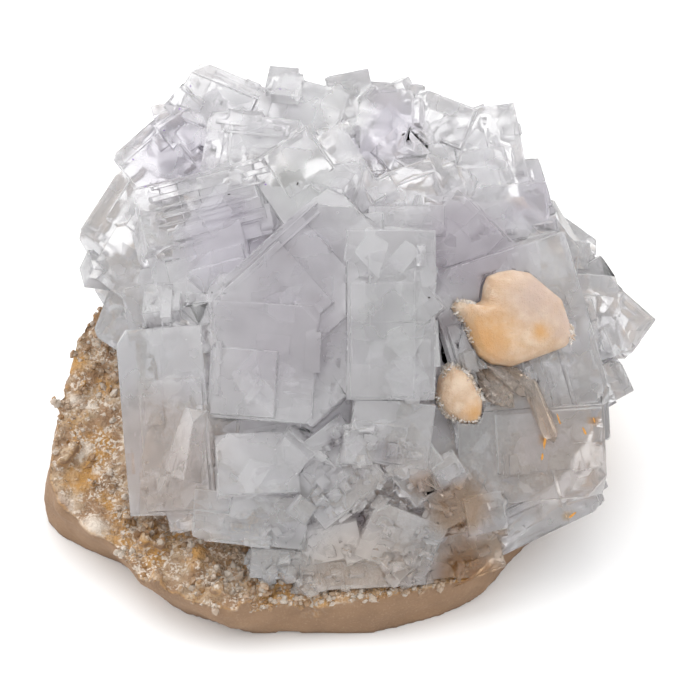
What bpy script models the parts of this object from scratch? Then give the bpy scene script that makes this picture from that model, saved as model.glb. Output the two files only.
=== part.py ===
"""Cubic fluorite on its matrix, with two calcite crystals and a small group of smoky quartz.

Blender 4.5, metres, +Z up. The specimen rests on the flat underside of its matrix, whose middle is the
origin. Its display face leans back. Crystals are placed across, up and out of that leaning face, in mm,
which is how a specimen is looked at, and are then turned into the upright frame.
"""

import math
import random
from typing import NamedTuple

import bmesh
import bpy
from mathutils import Euler, Matrix, Vector, noise

MM = 0.001
GAP = 0.3  # mm between two minerals that touch
WELD_DISTANCE = 0.004  # mm, for points that a Boolean leaves almost on top of each other

DISPLAY_LEAN = 45.0  # degrees that the display face leans back from upright
DISPLAY_ORIGIN = Vector((0.0, 13.2, 14.0))  # mm, the point that across, up and out are counted from

# The rock
MATRIX_MIDDLE = Vector((-3.0, 0.0))
MATRIX_RIM = (  # mm, plan of its widest line, from the middle of the front going left
    (4.0, -40.6), (-9.0, -39.2), (-18.0, -43.2), (-25.5, -41.6), (-33.0, -36.8), (-39.6, -30.4),
    (-46.6, -23.4), (-53.0, -15.8), (-51.2, -5.0), (-46.6, 7.0), (-43.0, 15.0), (-37.4, 25.0),
    (-28.0, 34.0), (-12.0, 39.0), (6.0, 40.5), (22.0, 37.0), (35.0, 29.0), (41.5, 15.0),
    (42.0, 1.0), (37.0, -12.0), (29.5, -22.0), (22.5, -30.4), (14.0, -37.6),
)
MATRIX_COLUMNS = 58
FRONT_HEIGHT = 8.6
BACK_HEIGHT = 25.0
RISE_FROM, RISE_TO = -30.0, 34.0  # mm along Y between which the top rises from the front to the back height
CROWN = 4.0  # mm that the middle stands higher than the rim, under the fluorite
WALL_SHARES = (0.0, 0.22, 0.5, 0.78, 1.0)  # heights of the wall's rings, as shares of the rim's height
TOP_SHARES = (0.94, 0.86, 0.77, 0.64, 0.36)  # rings of the top, as shares of the way out to the rim
WALL_RELIEF, TOP_RELIEF = 9.0, 5.5  # mm, size of the broken faces
WALL_ROUND = 1.3  # mm that the wall's top edge is rounded in
UNDERCUT, UNDERCUT_FRONT_LEFT = 1.2, 4.4  # mm that the underside is set in, and more at the front left
SWELL, SWELL_BACK, SWELL_SIZE = 1.4, 2.6, 17.0  # mm, at the front, more at the back, size

QUARTZ_GRAINS = 40
QUARTZ_FOOT = 1.6  # mm of each grain that is sunk in the rock
# Bare margin that the grains stand on: share of the way round from the front, and its inner edge as a share
QUARTZ_MARGIN = ((0.05, 0.90), (0.12, 0.70), (0.22, 0.64), (0.36, 0.78), (0.50, 0.82))
MARGIN_OUTER = 0.95


class Cube(NamedTuple):
    """One fluorite cube: its face's middle (across, up, out), (width, height, depth), (lean, swing, roll)."""

    name: str
    place: tuple
    size: tuple
    turn: tuple
    steps: int = 0  # growth terraces on its face
    offshoots: int = 0  # smaller cubes in parallel growth
    satellites: int = 1  # smaller cubes grown through it at an angle


CUBES = (
    # The large faces in the middle
    Cube("middle, corner up", (-4.8, 7.6, 37.6), (29.5, 28.0, 27.0), (2, -6, 42), 2, 0, 0),
    Cube("middle right", (6.8, 5.7, 39.6), (14.6, 28.0, 22.0), (-3, 5, 0), 1, 0, 0),
    Cube("middle left", (-14.4, -2.0, 38.2), (17.6, 19.4, 20.0), (-4, -11, -4), 1, 0, 0),
    # Lower left
    Cube("lower left flank", (-30.6, -11.8, 31.0), (17.5, 31.0, 20.0), (-4, -34, 3), 1, 0, 0),
    Cube("lower left shoulder", (-27.2, 2.1, 30.6), (15.0, 15.0, 18.0), (6, -24, -38), 1),
    Cube("lower left toe", (-24.0, -24.6, 33.0), (15.0, 10.0, 14.0), (-20, -18, 12), 0, 1),
    Cube("bright facet", (-15.2, -18.6, 37.2), (13.6, 10.4, 16.0), (14, 6, 2), 0, 0, 0),
    Cube("hollow beside it", (-22.6, -16.2, 34.6), (9.0, 12.0, 14.0), (-8, 30, -6)),
    Cube("low lobe left", (-16.5, -28.0, 35.4), (19.0, 8.6, 14.0), (-16, -6, -6), 1),
    Cube("low block", (-11.6, -35.4, 33.6), (9.6, 5.0, 10.0), (-8, 4, -3)),
    # Bottom and lower right, broken and frosted
    Cube("low middle", (-3.0, -20.2, 37.0), (13.6, 13.6, 16.0), (-4, -4, 38), 1, 1),
    Cube("low centre", (6.8, -13.6, 38.2), (13.4, 10.8, 16.0), (-6, 4, -8), 1, 1),
    Cube("eye", (11.6, -20.0, 36.6), (8.6, 8.6, 12.0), (-4, 12, 40), 1),
    Cube("foot left", (-3.2, -32.0, 34.8), (10.0, 6.0, 12.0), (-14, 0, 12), 0, 1),
    Cube("foot", (2.0, -36.6, 32.8), (21.0, 6.0, 10.0), (-10, 2, 3), 1, 1),
    Cube("foot right", (8.4, -31.6, 34.8), (12.6, 10.0, 12.0), (-12, 8, -22), 1, 1),
    Cube("brown window", (18.2, -34.4, 31.2), (14.0, 9.0, 12.0), (-18, 14, 22), 0, 1),
    Cube("clear brown", (17.4, -23.4, 34.0), (9.6, 9.6, 12.0), (0, 10, 28), 0, 1),
    Cube("clear brown hexagon", (22.4, -27.0, 33.8), (6.6, 6.4, 10.0), (2, 8, 12), 0, 0, 0),
    # Right
    Cube("right, corner up", (18.0, 14.4, 31.0), (18.6, 18.6, 22.0), (4, 14, 44), 1, 1),
    Cube("right flat face", (28.2, 1.6, 31.0), (25.0, 30.0, 22.0), (-2, 16, 17.4), 2, 0, 0),
    Cube("right inner wall", (17.0, 0.4, 31.6), (9.0, 22.0, 16.0), (0, 38, 2), 0, 0, 0),
    Cube("right low plate", (30.2, -17.4, 31.4), (25.0, 15.4, 18.0), (-6, 12, 4), 1, 1, 0),
    Cube("right low lobe", (30.6, -26.2, 27.4), (21.0, 11.4, 14.0), (-24, 18, 28), 1, 1),
    Cube("right low edge", (37.6, -18.6, 25.6), (9.0, 15.0, 12.0), (-8, 40, 30), 0, 1, 0),
    Cube("far right lower", (43.2, -5.4, 20.6), (7.0, 6.4, 14.0), (0, 22, 26), 0, 0, 0),
    Cube("far right lowest", (41.2, -11.6, 22.0), (4.6, 7.0, 10.0), (0, 26, 4), 0, 0, 0),
    Cube("far right block", (39.2, 6.4, 24.4), (11.0, 12.4, 16.0), (0, 18, -4), 1),
    Cube("far right point", (45.0, 5.0, 21.0), (10.4, 8.4, 16.0), (0, 24, -38), 1, 1, 0),
    Cube("far right upper", (41.0, 12.4, 20.6), (5.2, 5.0, 12.0), (6, 18, 30)),
    Cube("far right step", (36.8, 16.0, 21.6), (6.4, 4.6, 12.0), (6, 14, -8), 0, 1),
    Cube("far right notch", (34.2, 17.4, 23.2), (6.0, 7.0, 14.0), (8, 12, 36)),
    # Top right
    Cube("tall blade", (23.6, 30.0, 21.6), (12.4, 22.0, 14.0), (14, 16, 7), 2, 1, 0),
    Cube("second blade", (30.4, 25.2, 19.6), (6.8, 13.4, 16.0), (12, 22, 13), 1, 0, 0),
    Cube("blade foot", (26.6, 23.0, 24.6), (13.6, 9.4, 16.0), (8, 14, 4)),
    Cube("blade shoulder", (20.4, 37.6, 19.6), (6.6, 5.4, 17.0), (18, 8, 22), 0, 0, 0),
    Cube("rounded crystal", (14.4, 36.4, 22.2), (10.4, 12.6, 13.0), (16, 6, -22), 1, 1),
    # Top
    Cube("lilac crystal", (6.0, 36.6, 23.6), (9.0, 14.0, 18.0), (14, -8, 4)),
    Cube("lilac diamond", (8.4, 33.0, 25.6), (7.0, 7.0, 14.0), (10, 0, 44)),
    Cube("top ledge", (7.4, 42.2, 18.6), (9.6, 5.4, 18.0), (22, 4, -4), 0, 1),
    Cube("clear block", (9.8, 26.2, 30.2), (10.6, 8.6, 14.0), (12, 4, 20), 1, 1),
    Cube("clear ledge", (9.4, 21.4, 33.2), (12.6, 5.0, 14.0), (8, 2, 1)),
    Cube("clear slope", (15.6, 27.0, 27.6), (9.4, 9.0, 14.0), (14, 10, -26), 0, 1),
    Cube("leaning bar", (-0.8, 29.4, 29.8), (7.6, 15.4, 14.0), (10, -6, 32), 1),
    Cube("clear cube", (-8.8, 28.6, 30.0), (12.4, 13.0, 16.0), (10, -4, 34), 1, 1),
    Cube("top face", (-7.4, 39.4, 22.8), (12.0, 11.0, 12.0), (16, -4, -16), 1),
    Cube("top face right", (0.4, 41.8, 21.4), (7.4, 9.6, 19.0), (18, 0, 12), 0, 1),
    # Top left
    Cube("stepped crystal", (-16.6, 33.6, 26.4), (15.6, 11.0, 18.0), (12, -10, -6), 3),
    Cube("top left peak", (-20.6, 40.9, 20.4), (16.2, 10.6, 19.0), (16, -10, -23), 1, 1),
    Cube("top left knob", (-30.0, 38.4, 17.4), (5.6, 6.6, 12.0), (14, -14, 16)),
    Cube("top left collar", (-25.6, 37.6, 20.0), (7.4, 6.2, 12.0), (14, -12, 40), 0, 1),
    Cube("upper left cube", (-31.8, 31.9, 18.4), (12.6, 12.0, 12.0), (10, -18, 41), 1, 1),
    Cube("banded crystal", (-24.2, 23.0, 27.6), (21.6, 13.2, 18.0), (8, -14, 14.4), 3, 1),
    Cube("under the banded crystal", (-24.6, 12.6, 28.8), (17.0, 14.4, 18.0), (2, -16, 14), 2, 1),
    Cube("left flank cube", (-36.6, 21.8, 17.6), (13.4, 13.0, 16.0), (4, -22, -34), 1, 1),
    Cube("left tip", (-42.4, 18.6, 14.2), (6.0, 6.0, 12.0), (0, -30, 32), 0, 0, 0),
    Cube("left foot cube", (-36.2, 13.4, 19.0), (13.4, 10.6, 16.0), (-2, -28, -36), 0, 1),
    Cube("left foot block", (-33.4, 6.4, 22.0), (9.0, 9.0, 14.0), (-6, -26, 10)),
)
FRONT_CORNERS = ((-1, -1), (1, -1), (1, 1), (-1, 1))

# Cubes on the back and the ends, in rows: share of the way from the rock to the crest, cubes in the row
BACK_ROWS = ((0.12, 9), (0.5, 8), (0.88, 6))
BACK_REACH = 80.0  # degrees to either side of straight back
BACK_FOOT = Vector((40.0, 33.0, 24.0))  # mm, half width, depth and height of the lowest row's line
BACK_CREST = Vector((40.0, 36.5, 48.0))
BACK_CUBE = (7.5, 13.5)  # mm, smallest and largest edge
BACK_DEPTH = 15.0
CREST_DROP = 19.0  # mm that the crest is lower at the ends

# The intergrown middle that every cube roots in: (across, up, out), (half width, half height, half depth)
CORE = (
    ((-4.0, 4.0, 13.0), (33.0, 33.0, 20.0)),
    ((22.0, 4.0, 12.0), (21.0, 26.0, 16.0)),
    ((2.0, -17.0, 23.0), (29.0, 17.0, 11.5)),
)

# Calcite: outlines in mm across and up from the crystal's middle, clockwise
CALCITE_LARGE_OUTLINE = (
    (-10.9, 2.3), (-10.3, 3.6), (-7.2, 3.0), (-5.9, 3.6), (-5.6, 6.1), (-4.9, 7.7), (-3.0, 8.4),
    (-0.9, 8.8), (2.2, 8.3), (5.1, 5.9), (7.6, 3.9), (8.6, 1.0), (9.7, -2.3), (8.3, -4.0),
    (3.6, -5.7), (-1.0, -7.4), (-4.3, -6.9), (-6.5, -5.5), (-7.7, -3.2), (-8.8, -0.2),
)
CALCITE_LARGE_PLACE = (28.2, 4.5, 36.6)
CALCITE_LARGE_TURN = (0.0, 10.0, 0.0)
CALCITE_LARGE_DEPTH = 8.6
CALCITE_SMALL_OUTLINE = (
    (-3.7, 2.6), (-1.9, 4.9), (0.6, 4.0), (2.1, 2.0), (3.8, -0.9), (3.6, -3.6), (2.7, -5.2),
    (0.0, -5.1), (-2.8, -3.2), (-4.1, -0.8),
)
CALCITE_SMALL_PLACE = (18.7, -7.4, 36.0)
CALCITE_SMALL_TURN = (-6.0, 10.0, 0.0)
CALCITE_SMALL_DEPTH = 6.4
CALCITE_RINGS = (  # share of the outline's size, share of the depth behind the front
    (0.62, 1.0), (0.93, 0.72), (1.0, 0.5), (0.965, 0.3), (0.86, 0.14), (0.62, 0.045), (0.3, 0.01),
)
CALCITE_LIFT = Vector((0.06, 0.12))  # the bulge's crest is off the middle by this share of the reach
CALCITE_SMOOTH = 35.0  # degrees

# Smoky quartz prisms: the rooted end, the pointed end, the radius
SMOKY_PRISMS = (
    ((18.6, -1.2, 31.4), (27.2, -9.6, 34.2), 1.65),
    ((22.4, -1.0, 31.6), (30.8, -7.8, 34.0), 1.9),
    ((29.6, -5.2, 31.6), (33.8, -15.4, 33.0), 1.4),
    ((20.4, -4.4, 30.6), (24.8, -9.0, 34.2), 1.15),
)
PRISM_SIDES = 6
PRISM_TIP = 1.1  # height of the point, in radii
SIDE_GAP = 1.0 / math.cos(math.pi / PRISM_SIDES)  # a hexagon's corners move this much for its sides to move 1
TIP_GAP = 1.4  # and its point this much


def clear_scene():
    for old in list(bpy.data.objects):
        bpy.data.objects.remove(old)


def principled(name, colour, roughness, transmission=0.0, ior=1.5):
    made = bpy.data.materials.new(name)
    made.use_nodes = True
    shader = made.node_tree.nodes["Principled BSDF"]
    shader.inputs["Base Color"].default_value = (*colour, 1.0)
    shader.inputs["Roughness"].default_value = roughness
    shader.inputs["Metallic"].default_value = 0.0
    shader.inputs["Transmission Weight"].default_value = transmission
    shader.inputs["IOR"].default_value = ior
    return made


def display_axes():
    """Matrix from (across, up, out) to the upright frame, both in mm."""
    lean = math.radians(DISPLAY_LEAN)
    across = Vector((1.0, 0.0, 0.0))
    up = Vector((0.0, math.sin(lean), math.cos(lean)))
    out = Vector((0.0, -math.cos(lean), math.sin(lean)))
    return Matrix.Translation(DISPLAY_ORIGIN) @ Matrix((across, up, out)).transposed().to_4x4()


DISPLAY = display_axes()


def placed(place, turn, axes=DISPLAY):
    """Matrix of a crystal: its face's middle at place, leaned, swung and rolled by turn, in degrees."""
    lean, swing, roll = (math.radians(angle) for angle in turn)
    turned = Matrix.Rotation(swing, 4, "Y") @ Matrix.Rotation(-lean, 4, "X") @ Matrix.Rotation(roll, 4, "Z")
    return axes @ Matrix.Translation(Vector(place)) @ turned


def smooth_share(value, low, high):
    """0 at low and below, 1 at high and above, with an even ease between."""
    share = min(1.0, max(0.0, (value - low) / (high - low)))
    return share * share * (3.0 - 2.0 * share)


def curve_through(points, count):
    """count points on a smooth closed curve through the given ones."""
    found = []
    total = len(points)
    for k in range(count):
        i, t = divmod(k * total / count, 1.0)
        a, b, c, d = (Vector(points[(int(i) + j) % total]) for j in (-1, 0, 1, 2))
        cubic = (3 * b - a - 3 * c + d) * t**3
        square = (2 * a - 5 * b + 4 * c - d) * t**2
        found.append(0.5 * (2 * b + (c - a) * t + square + cubic))
    return found


def loft(mesh, rings):
    """Faces between each ring of points and the next one."""
    for low, high in zip(rings, rings[1:]):
        for k in range(len(low)):
            n = (k + 1) % len(low)
            mesh.faces.new((low[k], low[n], high[n], high[k]))


def add_copy(mesh, other):
    """Adds one bmesh to another and frees it."""
    carrier = bpy.data.meshes.new("carrier")
    other.to_mesh(carrier)
    other.free()
    mesh.from_mesh(carrier)
    bpy.data.meshes.remove(carrier)


def finished(name, mesh, finish, smooth_angle=None):
    """Turns a bmesh in mm into a named object in metres, with its origin at the specimen's origin."""
    bmesh.ops.scale(mesh, vec=Vector((MM, MM, MM)), verts=mesh.verts)
    data = bpy.data.meshes.new(name)
    mesh.to_mesh(data)
    mesh.free()
    data.materials.append(finish)
    if smooth_angle is not None:
        data.shade_smooth()
        data.set_sharp_from_angle(angle=math.radians(smooth_angle))
    made = bpy.data.objects.new(name, data)
    bpy.context.scene.collection.objects.link(made)
    return made


def join_or_cut(target, other, operation, own_overlaps=False):
    """Adds a Boolean to target; the other object only joins or cuts, so it is hidden."""
    other.hide_render = True
    other.display_type = "WIRE"
    step = target.modifiers.new(f"{operation.lower()}_{other.name}", "BOOLEAN")
    step.operation = operation
    step.solver = "EXACT"
    step.use_self = own_overlaps
    step.object = other


def weld(target):
    step = target.modifiers.new("weld", "WELD")
    step.merge_threshold = WELD_DISTANCE * MM


def connected_bodies(mesh):
    """The mesh's points, as one set for each connected body, smallest first."""
    bodies = []
    left = set(mesh.verts)
    while left:
        front = [left.pop()]
        body = set(front)
        while front:
            near = {edge.other_vert(vert) for vert in front for edge in vert.link_edges}
            front = list(near & left)
            left -= near
            body |= near
        bodies.append(body)
    return sorted(bodies, key=len)


def solid(made):
    """Replaces an object by the one closed body that its modifiers give, without specks that a cut left."""
    evaluated = made.evaluated_get(bpy.context.evaluated_depsgraph_get())
    mesh = bmesh.new()
    mesh.from_mesh(evaluated.to_mesh())
    evaluated.to_mesh_clear()
    specks = [vert for body in connected_bodies(mesh)[:-1] for vert in body]
    bmesh.ops.delete(mesh, geom=specks, context="VERTS")
    bmesh.ops.triangulate(mesh, faces=mesh.faces[:])
    made.modifiers.clear()
    mesh.to_mesh(made.data)
    mesh.free()
    return made


# Matrix

def matrix_top(point):
    """Height of the rock's upper side: low along the front, high at the back."""
    return FRONT_HEIGHT + (BACK_HEIGHT - FRONT_HEIGHT) * smooth_share(point.y, RISE_FROM, RISE_TO)


def broken_relief(point, size):
    """Relief from about -1 to 1: angular cells over a slow swell."""
    nearest, second = noise.voronoi(point / size)[0][:2]
    slow = noise.fractal(point / (2.2 * size), 0.9, 2.1, 3)
    return 0.9 * (second - nearest - 0.25) + 0.7 * slow


def undercut(rim):
    """How far the underside is set in from the rim: most at the front left, where the skin slopes under."""
    front_left = smooth_share(-rim.y, 5.0, 30.0) * smooth_share(-rim.x, 8.0, 24.0)
    return UNDERCUT + UNDERCUT_FRONT_LEFT * front_left


def wall_ring(mesh, rim, share, grow, depth):
    """One ring of the rock's wall, at a share of the rim's height. The lowest ring is level."""
    ring = []
    above = share > 0.0
    for point in rim:
        inward = (MATRIX_MIDDLE - point).normalized()
        height = matrix_top(point) * share if above else -depth
        rough = broken_relief(Vector((*point, height)), WALL_RELIEF) * (1.4 if above else 0.4)
        swell = SWELL + SWELL_BACK * smooth_share(point.y, -5.0, 25.0)
        swell *= noise.noise(Vector((*point, height)) / SWELL_SIZE)
        set_in = undercut(point) * (1.0 - share) ** 1.3 + WALL_ROUND * share**4
        spot = point + inward * (set_in - rough - swell - grow)
        lift = -0.6 * rough * share + (grow if share == 1.0 else 0.0)
        ring.append(mesh.verts.new((*spot, height + lift)))
    return ring


def top_ring(mesh, edge, share, grow):
    """One ring of the rock's top, rough where it is bare and smoother under the fluorite."""
    ring = []
    for point in edge:
        spot = MATRIX_MIDDLE + (point - MATRIX_MIDDLE) * share
        crown = CROWN * smooth_share(1.0 - share, 0.05, 0.5)
        bare = smooth_share(share, 0.62, 0.84)
        rough = broken_relief(Vector((*spot, 0.0)), TOP_RELIEF) * (0.15 + 1.5 * bare)
        ring.append(mesh.verts.new((*spot, matrix_top(spot) + crown + rough + grow)))
    return ring


def matrix_mesh(grow=0.0, depth=0.0):
    """The rock: rings up its wall, then over its top. grow and depth enlarge it when it is a cutter."""
    mesh = bmesh.new()
    rim = curve_through(MATRIX_RIM, MATRIX_COLUMNS)
    rings = [wall_ring(mesh, rim, share, grow, depth) for share in WALL_SHARES]
    edge = [vert.co.xy for vert in rings[-1]]
    rings += [top_ring(mesh, edge, share, grow) for share in TOP_SHARES]
    loft(mesh, rings)
    mesh.faces.new(rings[0])
    peak = mesh.verts.new((*MATRIX_MIDDLE, matrix_top(MATRIX_MIDDLE) + CROWN + grow))
    for k in range(MATRIX_COLUMNS):
        mesh.faces.new((rings[-1][k], rings[-1][(k + 1) % MATRIX_COLUMNS], peak))
    bmesh.ops.recalc_face_normals(mesh, faces=mesh.faces)
    bmesh.ops.triangulate(mesh, faces=mesh.faces[:])
    return mesh


def prism(mesh, start, end, radius, axes=DISPLAY):
    """A six-sided quartz crystal with a pointed end."""
    start, end = axes @ Vector(start), axes @ Vector(end)
    along = (end - start).normalized()
    turn = along.to_track_quat("Z", "Y")
    rings = []
    for spot in (start, end - along * PRISM_TIP * radius):
        ring = []
        for k in range(PRISM_SIDES):
            angle = math.tau * k / PRISM_SIDES
            corner = Vector((radius * math.cos(angle), radius * math.sin(angle), 0.0))
            ring.append(mesh.verts.new(spot + turn @ corner))
        rings.append(ring)
    loft(mesh, rings)
    mesh.faces.new(rings[0][::-1])
    point = mesh.verts.new(end)
    for k in range(PRISM_SIDES):
        mesh.faces.new((rings[1][k], rings[1][(k + 1) % PRISM_SIDES], point))


def margin_inner(turn):
    """Inner edge of the bare margin at a share of the way round the rim."""
    for (low_turn, low), (high_turn, high) in zip(QUARTZ_MARGIN, QUARTZ_MARGIN[1:]):
        if turn <= high_turn:
            return low + (high - low) * (turn - low_turn) / (high_turn - low_turn)
    return QUARTZ_MARGIN[-1][1]


def quartz_grains(grow=0.0):
    """Small pointed quartz crystals along the bare margin, at the left and front of the rock."""
    mesh = bmesh.new()
    rng = random.Random(5)
    rim = curve_through(MATRIX_RIM, 8 * len(MATRIX_RIM))
    for _ in range(QUARTZ_GRAINS):
        turn = rng.uniform(QUARTZ_MARGIN[0][0], QUARTZ_MARGIN[-1][0])
        outward = rim[int(turn * len(rim))] - MATRIX_MIDDLE
        spot = MATRIX_MIDDLE + outward * rng.uniform(margin_inner(turn), MARGIN_OUTER)
        radius = rng.uniform(0.65, 1.35)
        foot = Vector((*spot, matrix_top(spot) - QUARTZ_FOOT))
        lean = Vector((rng.uniform(-0.8, 0.6), rng.uniform(-0.9, 0.5), 1.0)).normalized()
        length = QUARTZ_FOOT + rng.uniform(1.1, 2.1) + radius
        prism(mesh, foot, foot + lean * (length + TIP_GAP * grow), radius + SIDE_GAP * grow, Matrix())
    return mesh


def build_matrix(finish):
    matrix = finished("matrix", matrix_mesh(), finish)
    join_or_cut(matrix, finished("matrix_grains", quartz_grains(), finish), "UNION", own_overlaps=True)
    weld(matrix)
    return solid(matrix)


# Calcite

def calcite_mesh(outline, place, turn, depth, grow=0.0):
    """A rounded rhomb: rings of its outline from the seated back, over its widest line, to the face."""
    mesh = bmesh.new()
    matrix = placed(place, turn)
    reach = max(Vector(point).length for point in outline)
    rings = []
    for share, behind in CALCITE_RINGS:
        facing = behind < 0.5
        shift = CALCITE_LIFT * reach * (1.0 - share) if facing else Vector((0.0, 0.0))
        level = grow - behind * depth if facing else -grow - behind * depth
        ring = []
        for point in outline:
            spot = Vector(point) * share + shift + Vector(point).normalized() * grow
            ring.append(mesh.verts.new(matrix @ Vector((*spot, level))))
        rings.append(ring)
    loft(mesh, rings)
    mesh.faces.new(rings[0][::-1])
    mesh.faces.new(rings[-1])
    bmesh.ops.recalc_face_normals(mesh, faces=mesh.faces)
    bmesh.ops.triangulate(mesh, faces=mesh.faces[:])
    return mesh


def calcite_large(grow=0.0):
    return calcite_mesh(CALCITE_LARGE_OUTLINE, CALCITE_LARGE_PLACE, CALCITE_LARGE_TURN, CALCITE_LARGE_DEPTH, grow)


def calcite_small(grow=0.0):
    return calcite_mesh(CALCITE_SMALL_OUTLINE, CALCITE_SMALL_PLACE, CALCITE_SMALL_TURN, CALCITE_SMALL_DEPTH, grow)


# Smoky quartz

def smoky_prisms(prisms, grow=0.0):
    mesh = bmesh.new()
    for start, end, radius in prisms:
        along = (Vector(end) - Vector(start)).normalized() * grow
        prism(mesh, Vector(start) - along, Vector(end) + along * TIP_GAP, radius + SIDE_GAP * grow)
    return mesh


def build_smoky_quartz(finish):
    quartz = finished("smoky_quartz", smoky_prisms(SMOKY_PRISMS[:1]), finish)
    others = finished("smoky_others", smoky_prisms(SMOKY_PRISMS[1:]), finish)
    join_or_cut(quartz, others, "UNION", own_overlaps=True)
    join_or_cut(quartz, finished("quartz_by_large", calcite_large(GAP), finish), "DIFFERENCE")
    join_or_cut(quartz, finished("quartz_by_small", calcite_small(GAP), finish), "DIFFERENCE")
    return solid(quartz)


# Fluorite

def block(mesh, matrix, low, high, chips=()):
    """Adds a cuboid between two local corners. Each chip cleaves off a front corner, square to its diagonal."""
    made = bmesh.new()
    bmesh.ops.create_cube(made, size=1.0)
    low, high = Vector(low), Vector(high)
    stretched = Matrix.Translation((low + high) / 2) @ Matrix.Diagonal((*(high - low), 1.0))
    bmesh.ops.transform(made, matrix=stretched, verts=made.verts)
    for (side, end), leg in chips:
        corner = Vector((high.x if side > 0 else low.x, high.y if end > 0 else low.y, high.z))
        normal = Vector((side, end, 1.0)).normalized()
        cut = bmesh.ops.bisect_plane(
            made, geom=made.verts[:] + made.edges[:] + made.faces[:],
            plane_co=corner - normal * leg / math.sqrt(3.0), plane_no=normal, clear_outer=True,
        )
        open_edges = [edge for edge in cut["geom_cut"] if isinstance(edge, bmesh.types.BMEdge)]
        bmesh.ops.holes_fill(made, edges=open_edges)
    bmesh.ops.transform(made, matrix=matrix, verts=made.verts)
    add_copy(mesh, made)


def add_terraces(mesh, rng, matrix, size, count):
    """Growth terraces: low square steps that share one corner of the cube's face."""
    width, height, _ = size
    small = min(width, height)
    side, end = rng.choice(FRONT_CORNERS)
    level, span = 0.0, 1.0
    for k in range(count):
        span *= rng.uniform(0.6, 0.82)
        rise = rng.uniform(0.010, 0.022) * small + 0.1
        inset = (0.035 + 0.022 * k) * small
        near = Vector((side * (width / 2 - inset), end * (height / 2 - inset)))
        far = near - Vector((side * width * span, end * height * span * rng.uniform(0.85, 1.0)))
        low = (min(near.x, far.x), min(near.y, far.y), level - 1.0)
        high = (max(near.x, far.x), max(near.y, far.y), level + rise)
        block(mesh, matrix, low, high)
        level += rise


def add_offshoot(mesh, rng, matrix, size):
    """A smaller cube in parallel growth, pushed out past one corner."""
    width, height, depth = size
    side, end = rng.choice(FRONT_CORNERS)
    wide, tall = rng.uniform(0.22, 0.42) * width, rng.uniform(0.22, 0.42) * height
    push = rng.uniform(0.05, 0.12) * min(width, height)
    x = side * ((width - wide) / 2 + push)
    y = end * ((height - tall) / 2 + push * 0.7)
    top = -rng.uniform(0.04, 0.3) * depth
    low = (x - wide / 2, y - tall / 2, top - 0.6 * depth)
    high = (x + wide / 2, y + tall / 2, top)
    block(mesh, matrix, low, high, [((side, end), 0.2 * min(wide, tall))])


def add_satellite(mesh, rng, matrix, size):
    """A smaller cube grown through one side of the face at an angle."""
    width, height, _ = size
    edge = rng.uniform(0.34, 0.52) * min(width, height) + 0.8
    side = rng.choice((-0.42, 0.42))
    along = rng.uniform(-0.45, 0.45)
    x, y = (side, along) if rng.random() < 0.5 else (along, side)
    spot = Matrix.Translation((x * width, y * height, -rng.uniform(0.25, 0.5) * edge))
    turned = Euler([math.radians(rng.uniform(-38.0, 38.0)) for _ in range(3)]).to_matrix().to_4x4()
    half = edge / 2
    block(mesh, matrix @ spot @ turned, (-half, -half, -half), (half, 0.9 * half, 1.1 * half))


def fluorite_cube(mesh, rng, cube, axes=DISPLAY):
    """One cube of the cluster with its cleaved corners and all that grows on it."""
    matrix = placed(cube.place, cube.turn, axes)
    width, height, depth = cube.size
    small = min(width, height)
    corners = rng.sample(FRONT_CORNERS, 2 if small > 6.0 else 1)
    chips = [(corner, rng.uniform(0.08, 0.24) * small) for corner in corners]
    block(mesh, matrix, (-width / 2, -height / 2, -depth), (width / 2, height / 2, 0.0), chips)
    add_terraces(mesh, rng, matrix, cube.size, cube.steps)
    for _ in range(cube.offshoots):
        add_offshoot(mesh, rng, matrix, cube.size)
    for _ in range(cube.satellites):
        add_satellite(mesh, rng, matrix, cube.size)


def back_cubes(mesh, rng):
    """Cubes on the cluster's back and ends, from the rock up to the top edge of the display face."""
    for level, count in BACK_ROWS:
        for k in range(count):
            turn = math.radians(BACK_REACH * (2.0 * (k + rng.uniform(0.3, 0.7)) / count - 1.0))
            around = Vector((math.sin(turn), math.cos(turn), 1.0))
            drop = Vector((0.0, 0.0, CREST_DROP * (1.0 - math.cos(turn))))
            share = min(1.0, level + rng.uniform(-0.08, 0.08))
            spot = (BACK_FOOT * around).lerp(BACK_CREST * around - drop, share) + Vector((0.0, 3.0 + level, 0.0))
            outward = Vector((math.sin(turn), math.cos(turn), 0.1 + 0.9 * level))
            axes = Matrix.Translation(spot) @ outward.to_track_quat("Z", "Y").to_matrix().to_4x4()
            edge = rng.uniform(*BACK_CUBE)
            size = (edge, edge * rng.uniform(0.8, 1.2), BACK_DEPTH)
            leaned = (rng.uniform(-28, 28), rng.uniform(-28, 28), rng.uniform(0, 90))
            out = (0.0, 0.0, rng.uniform(-1.5, 1.5))
            fluorite_cube(mesh, rng, Cube("back", out, size, leaned, 0, 1, k % 2), axes)


def core_lump(place, radii):
    lump = bmesh.new()
    bmesh.ops.create_icosphere(lump, subdivisions=2, radius=1.0)
    shape = DISPLAY @ Matrix.Translation(Vector(place)) @ Matrix.Diagonal((*radii, 1.0))
    bmesh.ops.transform(lump, matrix=shape, verts=lump.verts)
    return lump


def room_for_the_others(finish):
    """The space that the fluorite leaves for the rock, the calcite and the smoky quartz."""
    below = -2.0 * DISPLAY_ORIGIN.z
    room = finished("room", matrix_mesh(grow=GAP + 0.1, depth=-below), finish)
    join_or_cut(room, finished("room_grains", quartz_grains(GAP), finish), "UNION", own_overlaps=True)
    join_or_cut(room, finished("room_large", calcite_large(GAP), finish), "UNION")
    join_or_cut(room, finished("room_small", calcite_small(GAP), finish), "UNION")
    join_or_cut(room, finished("room_smoky", smoky_prisms(SMOKY_PRISMS, GAP), finish), "UNION", own_overlaps=True)
    weld(room)
    return room


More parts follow.
